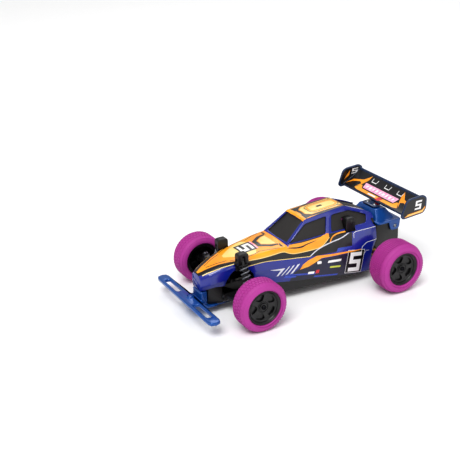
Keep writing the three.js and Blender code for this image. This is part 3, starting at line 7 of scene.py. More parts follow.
import json
import logging
import math
from dataclasses import dataclass, field
from enum import Enum
from typing import Iterable, Sequence

import bmesh
import bpy
import numpy as np
from mathutils import Euler, Matrix, Vector
from mathutils.geometry import tessellate_polygon

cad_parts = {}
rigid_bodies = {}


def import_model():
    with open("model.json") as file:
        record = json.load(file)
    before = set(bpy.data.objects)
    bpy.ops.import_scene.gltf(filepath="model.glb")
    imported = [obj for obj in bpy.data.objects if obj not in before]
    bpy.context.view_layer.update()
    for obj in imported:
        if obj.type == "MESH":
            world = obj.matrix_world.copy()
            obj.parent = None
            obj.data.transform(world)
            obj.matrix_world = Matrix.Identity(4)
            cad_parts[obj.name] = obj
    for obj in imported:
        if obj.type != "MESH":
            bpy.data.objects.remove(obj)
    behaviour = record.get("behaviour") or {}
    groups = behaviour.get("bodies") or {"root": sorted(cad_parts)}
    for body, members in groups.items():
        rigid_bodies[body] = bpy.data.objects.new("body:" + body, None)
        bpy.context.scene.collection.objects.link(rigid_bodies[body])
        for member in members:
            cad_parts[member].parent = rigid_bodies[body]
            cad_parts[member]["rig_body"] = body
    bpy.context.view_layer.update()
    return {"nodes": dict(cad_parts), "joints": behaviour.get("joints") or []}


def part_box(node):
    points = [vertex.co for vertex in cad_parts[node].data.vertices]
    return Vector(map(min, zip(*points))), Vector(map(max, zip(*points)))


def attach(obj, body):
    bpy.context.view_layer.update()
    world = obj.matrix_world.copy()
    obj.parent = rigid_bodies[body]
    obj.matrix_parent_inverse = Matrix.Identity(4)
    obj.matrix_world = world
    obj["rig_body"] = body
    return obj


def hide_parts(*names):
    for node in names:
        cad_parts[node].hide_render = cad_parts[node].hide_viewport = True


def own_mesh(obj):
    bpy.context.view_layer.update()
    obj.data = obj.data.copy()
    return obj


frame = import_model()

LOG = logging.getLogger("buggy")
MM = 0.001
Point = tuple[float, float]
Outline = list[Point]
BOX_FACES = ((0, 1, 2, 3), (4, 7, 6, 5), (0, 4, 5, 1), (1, 5, 6, 2), (2, 6, 7, 3), (3, 7, 4, 0))


# ---------------------------------------------------------------- finishes


def linear(code: str) -> tuple[float, float, float, float]:
    """Turn an sRGB hex value into linear red, green, blue and alpha.

    Args:
        code: Six hex digits with a leading #.

    Returns:
        The colour as Blender's sockets take it.
    """
    parts = [int(code[k : k + 2], 16) / 255 for k in (1, 3, 5)]
    low, high = 12.92, 1.055
    return (*[p / low if p <= 0.04045 else ((p + 0.055) / high) ** 2.4 for p in parts], 1.0)


def add_node(tree: bpy.types.NodeTree, kind: str, settings: dict | None = None,
             links: dict | None = None) -> bpy.types.Node:
    """Add one shader node.

    Args:
        tree: The node tree that gets it.
        kind: The node's type name.
        settings: Values, by the name or number of an input or the name of a property.
        links: Output sockets, by the name or number of the input that each one feeds.

    Returns:
        The new node.
    """
    node = tree.nodes.new(kind)
    for name, value in (settings or {}).items():
        if isinstance(name, int) or name in node.inputs:
            node.inputs[name].default_value = value
        else:
            setattr(node, name, value)
    for name, socket in (links or {}).items():
        tree.links.new(socket, node.inputs[name])
    return node


@dataclass(frozen=True)
class Finish:
    """A material and the way its surface was made.

    The colour drifts slowly towards shade over patches mottle_mm wide, and a bump of grain_mm
    and grain_depth_mm stands for the surface texture.
    """

    name: str
    colour: str
    shade: str
    roughness: float
    ior: float = 1.5
    metallic: float = 0.0
    coat: float = 0.0
    mottle_mm: float = 18.0
    grain_mm: float = 0.8
    grain_depth_mm: float = 0.01
    roughness_spread: float = 0.05

    def pattern(self, tree: bpy.types.NodeTree, place: bpy.types.NodeSocket) -> bpy.types.NodeSocket:
        """Give the socket, from 0 to 1, that moves the colour from colour to shade."""
        slow = add_node(tree, "ShaderNodeTexNoise", {"Scale": 1 / (self.mottle_mm * MM), "Detail": 3.0},
                        {"Vector": place})
        return slow.outputs["Fac"]

    def relief(self, tree: bpy.types.NodeTree, place: bpy.types.NodeSocket) -> bpy.types.NodeSocket:
        """Give the socket, from 0 to 1, that raises the surface texture."""
        fine = add_node(tree, "ShaderNodeTexNoise", {"Scale": 1 / (self.grain_mm * MM), "Detail": 2.0},
                        {"Vector": place})
        return fine.outputs["Fac"]

    def build(self) -> bpy.types.Material:
        """Make the material, or return the one that was made before.

        Returns:
            The finished node material.
        """
        made = bpy.data.materials.get(self.name)
        if made:
            return made
        material = bpy.data.materials.new(self.name)
        material.use_nodes = True
        tree = material.node_tree
        tree.nodes.clear()
        place = add_node(tree, "ShaderNodeTexCoord").outputs["Object"]
        amount = self.pattern(tree, place)
        height = self.relief(tree, place)
        colour = add_node(tree, "ShaderNodeMix", {"data_type": "RGBA", 6: linear(self.colour),
                                                  7: linear(self.shade)}, {0: amount})
        gloss = add_node(tree, "ShaderNodeMapRange", {"To Min": self.roughness - self.roughness_spread,
                                                      "To Max": self.roughness + self.roughness_spread},
                         {"Value": height})
        bump = add_node(tree, "ShaderNodeBump", {"Distance": self.grain_depth_mm * MM, "Strength": 1.0},
                        {"Height": height})
        shader = add_node(tree, "ShaderNodeBsdfPrincipled",
                          {"Metallic": self.metallic, "IOR": self.ior, "Coat Weight": self.coat,
                           "Coat Roughness": 0.08},
                          {"Base Color": colour.outputs[2], "Roughness": gloss.outputs["Result"],
                           "Normal": bump.outputs["Normal"]})
        add_node(tree, "ShaderNodeOutputMaterial", {}, {"Surface": shader.outputs["BSDF"]})
        return material


@dataclass(frozen=True)
class GlossyStyrene(Finish):
    """High-impact polystyrene from a polished mould: sharp highlights with a faint orange peel."""

    ior: float = 1.59
    coat: float = 0.35
    grain_mm: float = 2.5
    grain_depth_mm: float = 0.012
    roughness_spread: float = 0.03


@dataclass(frozen=True)
class PrintedFoil(Finish):
    """Gravure-printed vinyl foil, varnished: flat ink whose dot screen just breaks up the colour."""

    ior: float = 1.53
    coat: float = 0.25
    screen_mm: float = 0.9  # the real dots are a sixth of this, too fine to show
    roughness_spread: float = 0.04

    def pattern(self, tree: bpy.types.NodeTree, place: bpy.types.NodeSocket) -> bpy.types.NodeSocket:
        """Give a dot screen laid over a slow mottle of the colour."""
        dots = add_node(tree, "ShaderNodeTexVoronoi", {"Scale": 1 / (self.screen_mm * MM),
                                                       "Randomness": 0.25},
                        {"Vector": place})
        fade = add_node(tree, "ShaderNodeTexNoise", {"Scale": 1 / (self.mottle_mm * MM), "Detail": 1.0},
                        {"Vector": place})
        mixed = add_node(tree, "ShaderNodeMath", {"operation": "MULTIPLY_ADD", 1: 0.22},
                         {0: dots.outputs["Distance"], 2: fade.outputs["Fac"]})
        return add_node(tree, "ShaderNodeMapRange", {"From Min": 0.35, "From Max": 0.85},
                        {"Value": mixed.outputs["Value"]}).outputs["Result"]


@dataclass(frozen=True)
class DyedRubber(Finish):
    """Soft injected thermoplastic rubber, dyed through: matt, with a dusty bloom and fine pores."""

    ior: float = 1.48
    mottle_mm: float = 26.0
    grain_mm: float = 0.5
    grain_depth_mm: float = 0.03
    roughness_spread: float = 0.08


@dataclass(frozen=True)
class GrainedPlastic(Finish):
    """Black plastic from a spark-eroded mould: an even, fine-pitted satin."""

    ior: float = 1.54
    grain_mm: float = 0.45  # twice the real pitch, so that it shows
    grain_depth_mm: float = 0.03

    def relief(self, tree: bpy.types.NodeTree, place: bpy.types.NodeSocket) -> bpy.types.NodeSocket:
        """Give the rounded pits that spark erosion leaves."""
        pits = add_node(tree, "ShaderNodeTexVoronoi", {"Scale": 1 / (self.grain_mm * MM)}, {"Vector": place})
        return pits.outputs["Distance"]


@dataclass(frozen=True)
class TurnedMetal(Finish):
    """Turned or drawn metal: bright, with fine rings round the bar."""

    metallic: float = 1.0
    pitch_mm: float = 0.35  # three times the real feed, so that the rings show
    grain_depth_mm: float = 0.008

    def relief(self, tree: bpy.types.NodeTree, place: bpy.types.NodeSocket) -> bpy.types.NodeSocket:
        """Give rings across the bar's axis."""
        rings = add_node(tree, "ShaderNodeTexWave", {"Scale": 1 / (self.pitch_mm * MM * 6), "Distortion": 1.5,
                                                     "Detail": 2.0}, {"Vector": place})
        return rings.outputs["Fac"]


SHELL_BLUE = GlossyStyrene("shell_blue_styrene", "#1b2a96", "#162177", 0.18)
MOULDING_BLUE = GlossyStyrene("metallic_blue_styrene", "#1358aa", "#0d4488", 0.24, metallic=0.3)
WING_BLUE = GlossyStyrene("wing_blue_styrene", "#16335e", "#0e2344", 0.28, metallic=0.25)
WINDOW_CHARCOAL = GrainedPlastic("window_charcoal_abs", "#262322", "#1f1c1b", 0.6, grain_depth_mm=0.012)
RUBBER_MAGENTA = DyedRubber("dyed_magenta_rubber", "#b33a98", "#a03286", 0.62)
RIM_NYLON = GrainedPlastic("rim_black_nylon", "#0c0b0d", "#121113", 0.3, grain_depth_mm=0.008)
TUB_ABS = GrainedPlastic("tub_black_abs", "#141213", "#0f0e0f", 0.4)
ARM_NYLON = GrainedPlastic("suspension_black_nylon", "#151416", "#1b1a1c", 0.36, grain_depth_mm=0.015)
SPRING_STEEL = TurnedMetal("phosphated_spring_wire", "#8d9096", "#75787e", 0.38, metallic=0.6)
BLACK_OXIDE = TurnedMetal("black_oxide_steel", "#2c2c30", "#212124", 0.34)
ZINC_STEEL = TurnedMetal("zinc_plated_steel", "#b6b8bc", "#8e9196", 0.26)
MOTOR_CAN = TurnedMetal("pressed_motor_can", "#a3a6ab", "#8a8d92", 0.32)
BRASS = TurnedMetal("turned_brass", "#c8a055", "#a8823e", 0.3)
GEAR_NYLON = GrainedPlastic("natural_nylon", "#e3dfd3", "#d2cdbf", 0.42, grain_depth_mm=0.01)
BOARD_MASK = GlossyStyrene("solder_mask_green", "#1d6b3c", "#155030", 0.35, coat=0.2)
CELL_WRAP = GlossyStyrene("cell_shrink_wrap", "#c9c4b5", "#b6b0a0", 0.3)

INK_BLACK = PrintedFoil("ink_black", "#0b0a0d", "#131115", 0.3)
INK_NAVY = PrintedFoil("ink_navy", "#15183c", "#0e0f26", 0.3)
INK_BLUE = PrintedFoil("ink_blue", "#20369c", "#2a48b4", 0.28)
INK_GOLD = PrintedFoil("ink_gold", "#f9ad1e", "#f3921a", 0.32, mottle_mm=30.0)
INK_ORANGE = PrintedFoil("ink_orange", "#f28c1c", "#fbae2c", 0.32, mottle_mm=12.0)
INK_CREAM = PrintedFoil("ink_cream", "#f4dd96", "#f2cf70", 0.32, mottle_mm=16.0)
INK_WHITE = PrintedFoil("ink_white", "#f4f3f1", "#e4e3e4", 0.3)
INK_GREY = PrintedFoil("ink_silver_grey", "#c9cad6", "#e6e6ee", 0.3, mottle_mm=6.0)
INK_PINK = PrintedFoil("ink_pink", "#ee7fb4", "#f9c7dc", 0.3, mottle_mm=5.0)
INK_RED = PrintedFoil("ink_red", "#d3202c", "#b81a26", 0.3)
INK_GREEN = PrintedFoil("ink_yellow_green", "#a9c23a", "#d6cf4a", 0.3, mottle_mm=5.0)


# ---------------------------------------------------------------- mesh tools


def mesh_object(name: str, mesh: bpy.types.Mesh, finish: Finish) -> bpy.types.Object:
    """Link a mesh to the scene as a new object in one finish."""
    obj = bpy.data.objects.new(name, mesh)
    bpy.context.scene.collection.objects.link(obj)
    mesh.materials.clear()
    mesh.materials.append(finish.build())
    return obj


def mesh_from(name: str, points: Iterable[Sequence[float]], faces: Iterable[Sequence[int]]) -> bpy.types.Mesh:
    """Make a mesh from points in millimetres.

    Args:
        name: The mesh's name.
        points: The corners.
        faces: The corner numbers of each face.

    Returns:
        The mesh in metres, with its faces turned outwards.
    """
    mesh = bpy.data.meshes.new(name)
    mesh.from_pydata([tuple(c * MM for c in p) for p in points], [], [tuple(f) for f in faces])
    shape = bmesh.new()
    shape.from_mesh(mesh)
    bmesh.ops.recalc_face_normals(shape, faces=shape.faces)
    shape.to_mesh(mesh)
    shape.free()
    return mesh


def shade(mesh: bpy.types.Mesh, crease_deg: float) -> None:
    """Shade a mesh smooth, with a crease where faces meet at more than an angle."""
    mesh.polygons.foreach_set("use_smooth", [True] * len(mesh.polygons))
    mesh.set_sharp_from_angle(angle=math.radians(crease_deg))
    mesh.update()


def settle(obj: bpy.types.Object) -> None:
    """Apply an object's modifiers to its mesh."""
    graph = bpy.context.evaluated_depsgraph_get()
    mesh = bpy.data.meshes.new_from_object(obj.evaluated_get(graph))
    obj.modifiers.clear()
    obj.data = mesh


def lathe_x(profile: Sequence[Point], steps: int) -> tuple[list, list]:
    """Turn a closed profile round the X axis.

    Args:
        profile: Points as (radius, x), in order round the profile.
        steps: The number of facets in a turn.

    Returns:
        The points and the faces.
    """
    points, faces = [], []
    count = len(profile)
    for k in range(steps):
        angle = 2 * math.pi * k / steps
        points += [(x, r * math.cos(angle), r * math.sin(angle)) for r, x in profile]
    for k in range(steps):
        here, there = k * count, (k + 1) % steps * count
        faces += [(here + i, here + (i + 1) % count, there + (i + 1) % count,
                   there + i) for i in range(count)]
    return points, faces


def rounded(points: Sequence[Point], radius: float, steps: int = 4) -> Outline:
    """Round the corners of a closed outline.

    Args:
        points: The corners.
        radius: How far from each corner its arc starts, limited by the edges' lengths.
        steps: The number of pieces in each arc.

    Returns:
        The outline with its corners as curves.
    """
    result = []
    count = len(points)
    for k in range(count):
        before, corner, after = (Vector(points[(k + d) % count]) for d in (-1, 0, 1))
        start = corner + (before - corner).normalized() * min(radius, (before - corner).length * 0.48)
        end = corner + (after - corner).normalized() * min(radius, (after - corner).length * 0.48)
        for i in range(steps + 1):
            t = i / steps
            result.append(tuple(start.lerp(corner, t).lerp(corner.lerp(end, t), t)))
    return result


def through(points: Sequence[Point], steps: int = 4) -> Outline:
    """Draw a smooth open curve through points.

    Args:
        points: The points that it passes.
        steps: The number of pieces between two points.

    Returns:
        Points along the curve.
    """
    path = [Vector(points[0]), *map(Vector, points), Vector(points[-1])]
    result = [tuple(points[0])]
    for a, b, c, d in zip(path, path[1:], path[2:], path[3:]):
        for i in range(1, steps + 1):
            t = i / steps
            result.append(tuple(0.5 * (2 * b + (c - a) * t + (2 * a - 5 * b + 4 * c - d) * t**2
                                       + (3 * b - a - 3 * c + d) * t**3)))
    return result


def ribbon(points: Sequence[Point], width: float, closed: bool = False) -> list[Outline]:
    """Widen a line into outlines, one for each of its pieces.

    Args:
        points: The line's points.
        width: The width of the ribbon.
        closed: True if the line returns to its start.

    Returns:
        Four-sided outlines that share their ends.
    """
    line = [Vector(p) for p in points]
    count = len(line)
    sides = []
    for k, here in enumerate(line):
        before = line[k - 1] if k or closed else here
        after = line[(k + 1) % count] if k < count - 1 or closed else here
        along = ((here - before).normalized() + (after - here).normalized()).normalized()
        step = after - here if (after - here).length else here - before
        mitre = max(0.5, abs(along.dot(step.normalized())))
        across = Vector((-along.y, along.x)) * width / 2 / mitre
        sides.append((tuple(here + across), tuple(here - across)))
    pairs = list(zip(sides, sides[1:] + sides[:1] if closed else sides[1:]))
    return [[a[0], a[1], b[1], b[0]] for a, b in pairs]


def plate_x(name: str, outlines: Sequence[Outline], x0: float, x1: float, edge: float) -> bpy.types.Mesh:
    """Make a flat plate with round edges across the X axis.

    Args:
        name: The mesh's name.
        outlines: The outer outline and then the holes, as (y, z).
        x0: One face of the plate.
        x1: The other face.
        edge: The radius of its edges.

    Returns:
        The plate's mesh in metres.
    """
    curve = bpy.data.curves.new(name, "CURVE")
    curve.dimensions = "2D"
    curve.fill_mode = "BOTH"
    curve.extrude = (abs(x1 - x0) / 2 - edge) * MM
    curve.bevel_depth = edge * MM
    curve.bevel_resolution = 2
    curve.offset = -edge * MM
    for outline in outlines:
        spline = curve.splines.new("POLY")
        spline.points.add(len(outline) - 1)
        spline.use_cyclic_u = True
        for point, (u, v) in zip(spline.points, outline):
            point.co = (u * MM, v * MM, 0, 1)
    drawn = bpy.data.objects.new(name, curve)
    bpy.context.scene.collection.objects.link(drawn)
    graph = bpy.context.evaluated_depsgraph_get()
    mesh = bpy.data.meshes.new_from_object(drawn.evaluated_get(graph))
    bpy.data.objects.remove(drawn)
    turn = Matrix(((0, 0, 1, (x0 + x1) / 2 * MM), (1, 0, 0, 0), (0, 1, 0, 0), (0, 0, 0, 1)))
    mesh.transform(turn)
    return mesh


def merged(name: str, meshes: Sequence[bpy.types.Mesh]) -> bpy.types.Mesh:
    """Put several meshes into one."""
    shape = bmesh.new()
    for mesh in meshes:
        shape.from_mesh(mesh)
    bmesh.ops.recalc_face_normals(shape, faces=shape.faces)
    result = bpy.data.meshes.new(name)
    shape.to_mesh(result)
    shape.free()
    return result


def body_of_node(node: str) -> str:
    """Name the body that a CAD node rides on."""
    return frame["nodes"][node]["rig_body"]


def place_piece(obj: bpy.types.Object, body: str, nodes: Sequence[str] = ()) -> bpy.types.Object:
    """Let a piece ride on a body and hide the nodes that it stands for.

    Args:
        obj: The finished piece.
        body: The CAD body that carries it.
        nodes: The CAD nodes that it replaces.

    Returns:
        The same piece.
    """
    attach(obj, body)
    if nodes:
        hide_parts(*nodes)
    LOG.info("%s rides on %s with %d faces", obj.name, body, len(obj.data.polygons))
    return obj


# ---------------------------------------------------------------- mouldings carried over from the CAD


@dataclass
class Moulding:
    """A CAD solid given the small edge rounds of the real moulded or turned part."""

    node: str
    slot: str
    finish: Finish
    round_mm: float = 0.22
    steps: int = 2
    crease_deg: float = 26.0

    def build(self) -> bpy.types.Object:
        """Copy the solid, clean its flat faces, round its edges and put it in the solid's place.

        Returns:
            The dressed piece.
        """
        mesh = frame["nodes"][self.node].data.copy()
        shape = bmesh.new()
        shape.from_mesh(mesh)
        bmesh.ops.remove_doubles(shape, verts=shape.verts, dist=0.004 * MM)
        bmesh.ops.dissolve_limit(shape, angle_limit=math.radians(0.6), verts=shape.verts, edges=shape.edges)
        shape.to_mesh(mesh)
        shape.free()
        obj = mesh_object(f"{self.node}_moulded", mesh, self.finish)
        if self.round_mm:
            bevel = obj.modifiers.new("edge_round", "BEVEL")
            bevel.width = self.round_mm * MM
            bevel.segments = self.steps
            bevel.limit_method = "ANGLE"
            bevel.angle_limit = math.radians(self.crease_deg)
            bevel.use_clamp_overlap = False
            settle(obj)
        shade(obj.data, 38)
        return place_piece(obj, body_of_node(self.node), [self.node])


# ---------------------------------------------------------------- printed foils


class View(Enum):
    """The side from which a foil's drawing is laid onto a moulding: direction, then drawing axes."""

    LEFT = (Vector((1, 0, 0)), (1, 2))
    RIGHT = (Vector((-1, 0, 0)), (1, 2))
    TOP = (Vector((0, 0, 1)), (0, 1))


TOP_LIMIT = 0.66  # a face whose normal rises more than this belongs to the top drawing
SIDE_LIMIT = 0.25  # a face turned less than this towards a side carries none of its drawing


class Surface:
    """The triangles of a finished moulding, ready to carry foils."""

    def __init__(self, obj: bpy.types.Object) -> None:
        """Read the triangles and normals of a piece."""
        mesh = obj.data
        mesh.calc_loop_triangles()
        count = len(mesh.loop_triangles)
        corners = np.zeros(count * 3, np.int32)
        mesh.loop_triangles.foreach_get("vertices", corners)
        places = np.zeros(len(mesh.vertices) * 3)
        mesh.vertices.foreach_get("co", places)
        normals = np.zeros(len(mesh.vertices) * 3)
        mesh.vertices.foreach_get("normal", normals)
        flat = np.zeros(count * 3)
        mesh.loop_triangles.foreach_get("normal", flat)
        corners = corners.reshape(-1, 3)
        self.corners = np.concatenate([places.reshape(-1, 3)[corners] / MM, normals.reshape(-1,
                                                            3)[corners]], 2)
        self.facing = flat.reshape(-1, 3)

    def facing_view(self, view: View, depth: tuple[float, float]) -> np.ndarray:
        """Choose the triangles that a drawing falls on.

        Args:
            view: The side that the drawing comes from.
            depth: The lowest and highest place along the view's direction, in millimetres.

        Returns:
            The corners of those triangles, each a place and a normal.
        """
        direction = np.array(view.value[0])
        rise = self.facing[:, 2]
        if view is View.TOP:
            chosen = rise > TOP_LIMIT
        else:
            chosen = (rise <= TOP_LIMIT) & (self.facing @ direction > SIDE_LIMIT)
        axis = int(np.argmax(np.abs(direction)))
        middle = self.corners[:, :, axis].mean(1)
        return self.corners[chosen & (middle > depth[0]) & (middle < depth[1])]


def clip(piece: list[np.ndarray], a: Point, b: Point, axes: tuple[int, int]) -> list[np.ndarray]:
    """Keep what lies to the left of the line from a to b.

    Args:
        piece: The corners of a flat piece, each a place and a normal.
        a: The line's start in the drawing.
        b: The line's end.
        axes: The drawing's two axes.

    Returns:
        The corners of what is left, or an empty list.
    """
    u, v = axes
    side = [(b[0] - a[0]) * (p[v] - a[1]) - (b[1] - a[1]) * (p[u] - a[0]) for p in piece]
    kept = []
    for k, here in enumerate(piece):
        last = piece[k - 1]
        if (side[k] >= 0) != (side[k - 1] >= 0):
            t = side[k - 1] / (side[k - 1] - side[k])
            kept.append(last + (here - last) * t)
        if side[k] >= 0:
            kept.append(here)
    return kept


@dataclass
class Foil:
    """One ink of the livery: flat outlines laid onto a moulding, a hair above its surface."""

    name: str
    finish: Finish
    outlines: list[Outline]
    layer: int = 0
    first_lift_mm: float = 0.06
    layer_mm: float = 0.035

    def build(self, surface: Surface, view: View, slot: str, body: str,
              depth: tuple[float, float] = (-500.0, 500.0)) -> bpy.types.Object | None:
        """Lay the outlines onto a surface.

        Args:
            surface: The moulding's triangles.
            view: The side that the drawing comes from.
            slot: Not used.
            body: The CAD body that carries the foil.
            depth: The range along the view's direction in which the moulding is printed.

        Returns:
            The foil, or None if no outline met the surface.
        """
        corners = surface.facing_view(view, depth)
        axes = view.value[1]
        flat = corners[:, :, axes]
        low, high = flat.min(1), flat.max(1)
        lift = self.first_lift_mm + self.layer * self.layer_mm
        points, faces = [], []
        for triangle in self.triangles():
            near, far = np.min(triangle, 0), np.max(triangle, 0)
            hit = np.all(high > near, 1) & np.all(low < far, 1)
            for piece in corners[hit]:
                piece = list(piece)
                for a, b in zip(triangle, triangle[1:] + triangle[:1]):
                    piece = clip(piece, a, b, axes) if piece else piece
                if len(piece) > 2:
                    faces.append(tuple(range(len(points), len(points) + len(piece))))
                    points += [tuple(p[:3] + p[3:] * lift) for p in piece]
        if not faces:
            LOG.warning("foil %s met no surface", self.name)
            return None
        return self.finished(points, faces, body)

    def triangles(self) -> list[list[Point]]:
        """Split the outlines into triangles that turn to the left."""
        result = []
        for outline in self.outlines:
            for a, b, c in tessellate_polygon([[Vector((u, v, 0)) for u, v in outline]]):
                one, two, three = outline[a], outline[b], outline[c]
                turn = (two[0] - one[0]) * (three[1] - one[1]) - (two[1] - one[1]) * (three[0] - one[0])
                result.append([one, two, three] if turn > 0 else [one, three, two])
        return result

    def finished(self, points: list, faces: list, body: str) -> bpy.types.Object:
        """Weld the pieces and let the foil ride on its body."""
        mesh = bpy.data.meshes.new(self.name)
        mesh.from_pydata([tuple(c * MM for c in p) for p in points], [], faces)
        shape = bmesh.new()
        shape.from_mesh(mesh)
        bmesh.ops.remove_doubles(shape, verts=shape.verts, dist=0.002 * MM)
        bmesh.ops.dissolve_degenerate(shape, edges=shape.edges, dist=0.001 * MM)
        shape.to_mesh(mesh)
        shape.free()
        obj = mesh_object(self.name, mesh, self.finish)
        shade(obj.data, 60)
        return place_piece(obj, body)


def numeral_five(corner: Point, width: float, height: float, lean: float, drop: float,
                 mirrored: bool = False) -> Outline:
    """Draw a plain block race number.

    Args:
        corner: The numeral's lower corner towards the nose.
        width: Its width.
        height: Its height.
        lean: How far its top is shifted along the drawing.
        drop: How far its far side is lowered.
        mirrored: True where it is read from the car's other side.

    Returns:
        The numeral's outline.
    """
    strokes = [(0, 1), (1, 1), (1, 0.8), (0.3, 0.8), (0.3, 0.61), (1, 0.61), (1, 0), (0, 0), (0, 0.2),
               (0.7, 0.2), (0.7, 0.41), (0, 0.41)]
    result = []
    for u, v in strokes:
        across = 1 - u if mirrored else u
        result.append((corner[0] + width * across + lean * v, corner[1] + height * v - drop * across))
    return result


def box_outline(centre: Point, width: float, height: float, lean: float = 0.0, drop: float = 0.0) -> Outline:
    """Draw a leaning four-sided block round a centre."""
    corners = [(-0.5, -0.5), (0.5, -0.5), (0.5, 0.5), (-0.5, 0.5)]
    return [(centre[0] + width * u + lean * v, centre[1] + height * v - drop * u) for u, v in corners]


@dataclass
class ShellLivery:
    """The printed foils of the body shell: side flames, race number, hood tongue and roof panel."""

    surface: Surface
    slot: str = "body_shell"
    body: str = "chassis"
    number_corner: Point = (50.2, 17.4)
    number_size: tuple[float, float] = (15.2, 21.6)

    def build(self) -> None:
        """Lay every foil onto the shell."""
        for view in (View.LEFT, View.RIGHT):
            tag = view.name.lower()
            for foil in self.side_foils(view is View.RIGHT):
                foil.name = f"foil_{foil.name}_{tag}"
                foil.build(self.surface, view, self.slot, self.body)
        for foil in self.hood_foils() + self.roof_foils():
            foil.name = f"foil_{foil.name}"
            foil.build(self.surface, View.TOP, self.slot, self.body)

    def side_foils(self, mirrored: bool) -> list[Foil]:
        """Draw the foils of one flank, as (y, z).

        Args:
            mirrored: True for the right side, where the number is drawn the other way round.

        Returns:
            The flank's foils, lowest layer first.
        """
        flame_low = through([(-76, 54.4), (-68, 55.4), (-49, 56), (-29, 57.8), (-21, 55), (-13, 53), (6,
                                                            52.6),
                             (18.6, 53.2), (25.5, 56.8), (31, 61.2)])
        flame_high = [(31.6, 64.9), (26.6, 65.2), (20.5, 63.4), (8, 62.9), (-4, 62.4), (-20, 63), (-27, 63),
                      (-40, 63), (-76, 60)]
        shadow = [(-80, 53), (-69, 49.6), (-48, 50.9), (-18.6, 48.3), (2.6, 45.8), (12.4, 44.6), (41.9, 43.6),
                  (58.7, 45.3), (60.3, 53.4), (61.4, 59.2), (61.4, 63.2), (26, 64.5), (-30, 63), (-80, 60)]
        lower = [(-24, 22), (-18, 31.5), (-6, 37.5), (6, 39.5), (18, 40), (36, 39.6), (70, 38.5), (69, 33),
                 (66.5, 20), (67, 8), (30, 12)]
        number = numeral_five(self.number_corner, *self.number_size, 5.2, 2.2, mirrored)
        plate = box_outline((60.4, 27.6), 21.5, 25.4, 6.4, 3.2)
        bars = [box_outline((c, 36), w, 9, 9.5, -0.6) for c, w in ((-27.5, 2.2), (-22.2, 2.6), (-16, 3.4))]
        arrow = [(-46, 40.8), (-28, 39.6), (-36.4, 31.8), (-38.6, 32.0), (-33.4, 38), (-41.5, 39.2)]
        sweep = through([(4.5, 46.2), (11, 49.6), (18.6, 52.2), (31.5, 55), (47, 57), (57.5, 60.6)])
        loop = through([(31.4, 55.4), (34, 59.3), (38, 61.6), (46, 62.6), (56.6, 62.2)])
        return [
            Foil("shadow", INK_BLACK, [shadow]),
            Foil("lower_panel", INK_NAVY, [lower]),
            Foil("flame_edge", INK_CREAM, ribbon(flame_low, 1.5), 1),
            Foil("flame", INK_GOLD, [flame_low + flame_high], 2),
            Foil("flame_crack", INK_BLACK, [through([(-24, 60.6), (-17, 58.8), (-10, 57.6), (-4, 57.5),
                                                     (2.3, 59.3),
                                                     (15, 61.3), (2.3, 60.4), (-4, 59.2), (-10, 59.1),
                                                     (-17, 60)])], 3),
            Foil("flame_tab", INK_ORANGE, [rounded(box_outline((28.6, 62.4), 4.6, 6.0, 0.6), 1.8)], 3),
            Foil("shoulder_line", INK_CREAM, ribbon(through([(-79, 49.0), (-69, 49.4), (-48, 50.8),
                                                            (-18.6, 48.2),
                                                             (1.5, 46), (4.5, 46.2)]), 0.7), 1),
            Foil("sweep", INK_GREY, ribbon(sweep, 1.2), 2),
            Foil("loop", INK_GOLD, ribbon(loop, 1.3), 2),
            Foil("patch", INK_BLUE, [[(37.6, 43.2), (40.2, 47), (58.6, 45.9), (58.4, 44.6)]], 1),
            Foil("stripe", INK_ORANGE, [[(-10.4, 33.6), (-6.2, 38.8), (0.9, 42.1), (12.3, 44.5), (35.3, 42.2),
                                         (70, 40.2), (69.6, 39.2), (36, 40), (17.8, 40.9), (11.3, 38.6),
                                         (1.4, 35.1)]], 2),
            Foil("bars", INK_GREY, [arrow, *bars], 2),
            Foil("streaks", INK_BLUE, [box_outline((-8, 27.6), 34, 1.6, 2, 5.2), box_outline((-22, 28.2),
                                                            14, 2.4, 2, 2),
                                       box_outline((22, 19.6), 30, 1.2, 2, 4.4)], 1),
            Foil("number_plate", INK_BLACK, [plate], 1),
            Foil("number", INK_WHITE, [number], 3),
            Foil("number_line", INK_WHITE, ribbon(plate, 0.45, True), 2),
            Foil("plain_bars", INK_WHITE, [rounded(box_outline((34, 34.2), 17, 2.6, 1.2, 1.5), 0.6),
                                           rounded(box_outline((3.6, 27), 7.6, 2.5, 1, 1), 0.5),
                                           rounded(box_outline((14.4, 36.6), 5.6, 3.4, 0, 0.3), 1.4)], 2),
            Foil("red_tile", INK_RED, [box_outline((11.6, 26.6), 4.4, 3.8, 1.2, 0.4)], 2),
            Foil("green_bar", INK_GREEN, [rounded(box_outline((34.4, 27.2), 13.5, 1.9, 1, 2), 0.5)], 2),
            Foil("tail_lines", INK_WHITE, ribbon([(62.4, 53.6), (63.4, 59.0), (66, 60.0), (92, 61.0)], 0.5)
                 + ribbon([(69.6, 36.8), (71.4, 42.2), (78, 45.8), (96, 46.8)], 0.6)
                 + ribbon([(72.5, 33), (76.5, 36.8), (80.5, 36.2)], 0.4), 2),
        ]

    def hood_foils(self) -> list[Foil]:
        """Draw the hood's foils, as (x, y); the thin cream lines along the black band's edge are painted
        highlight.
        """
        def both(half: Outline) -> Outline:
            """Close a half outline with its mirror image."""
            return half + [(-x, y) for x, y in reversed(half)]

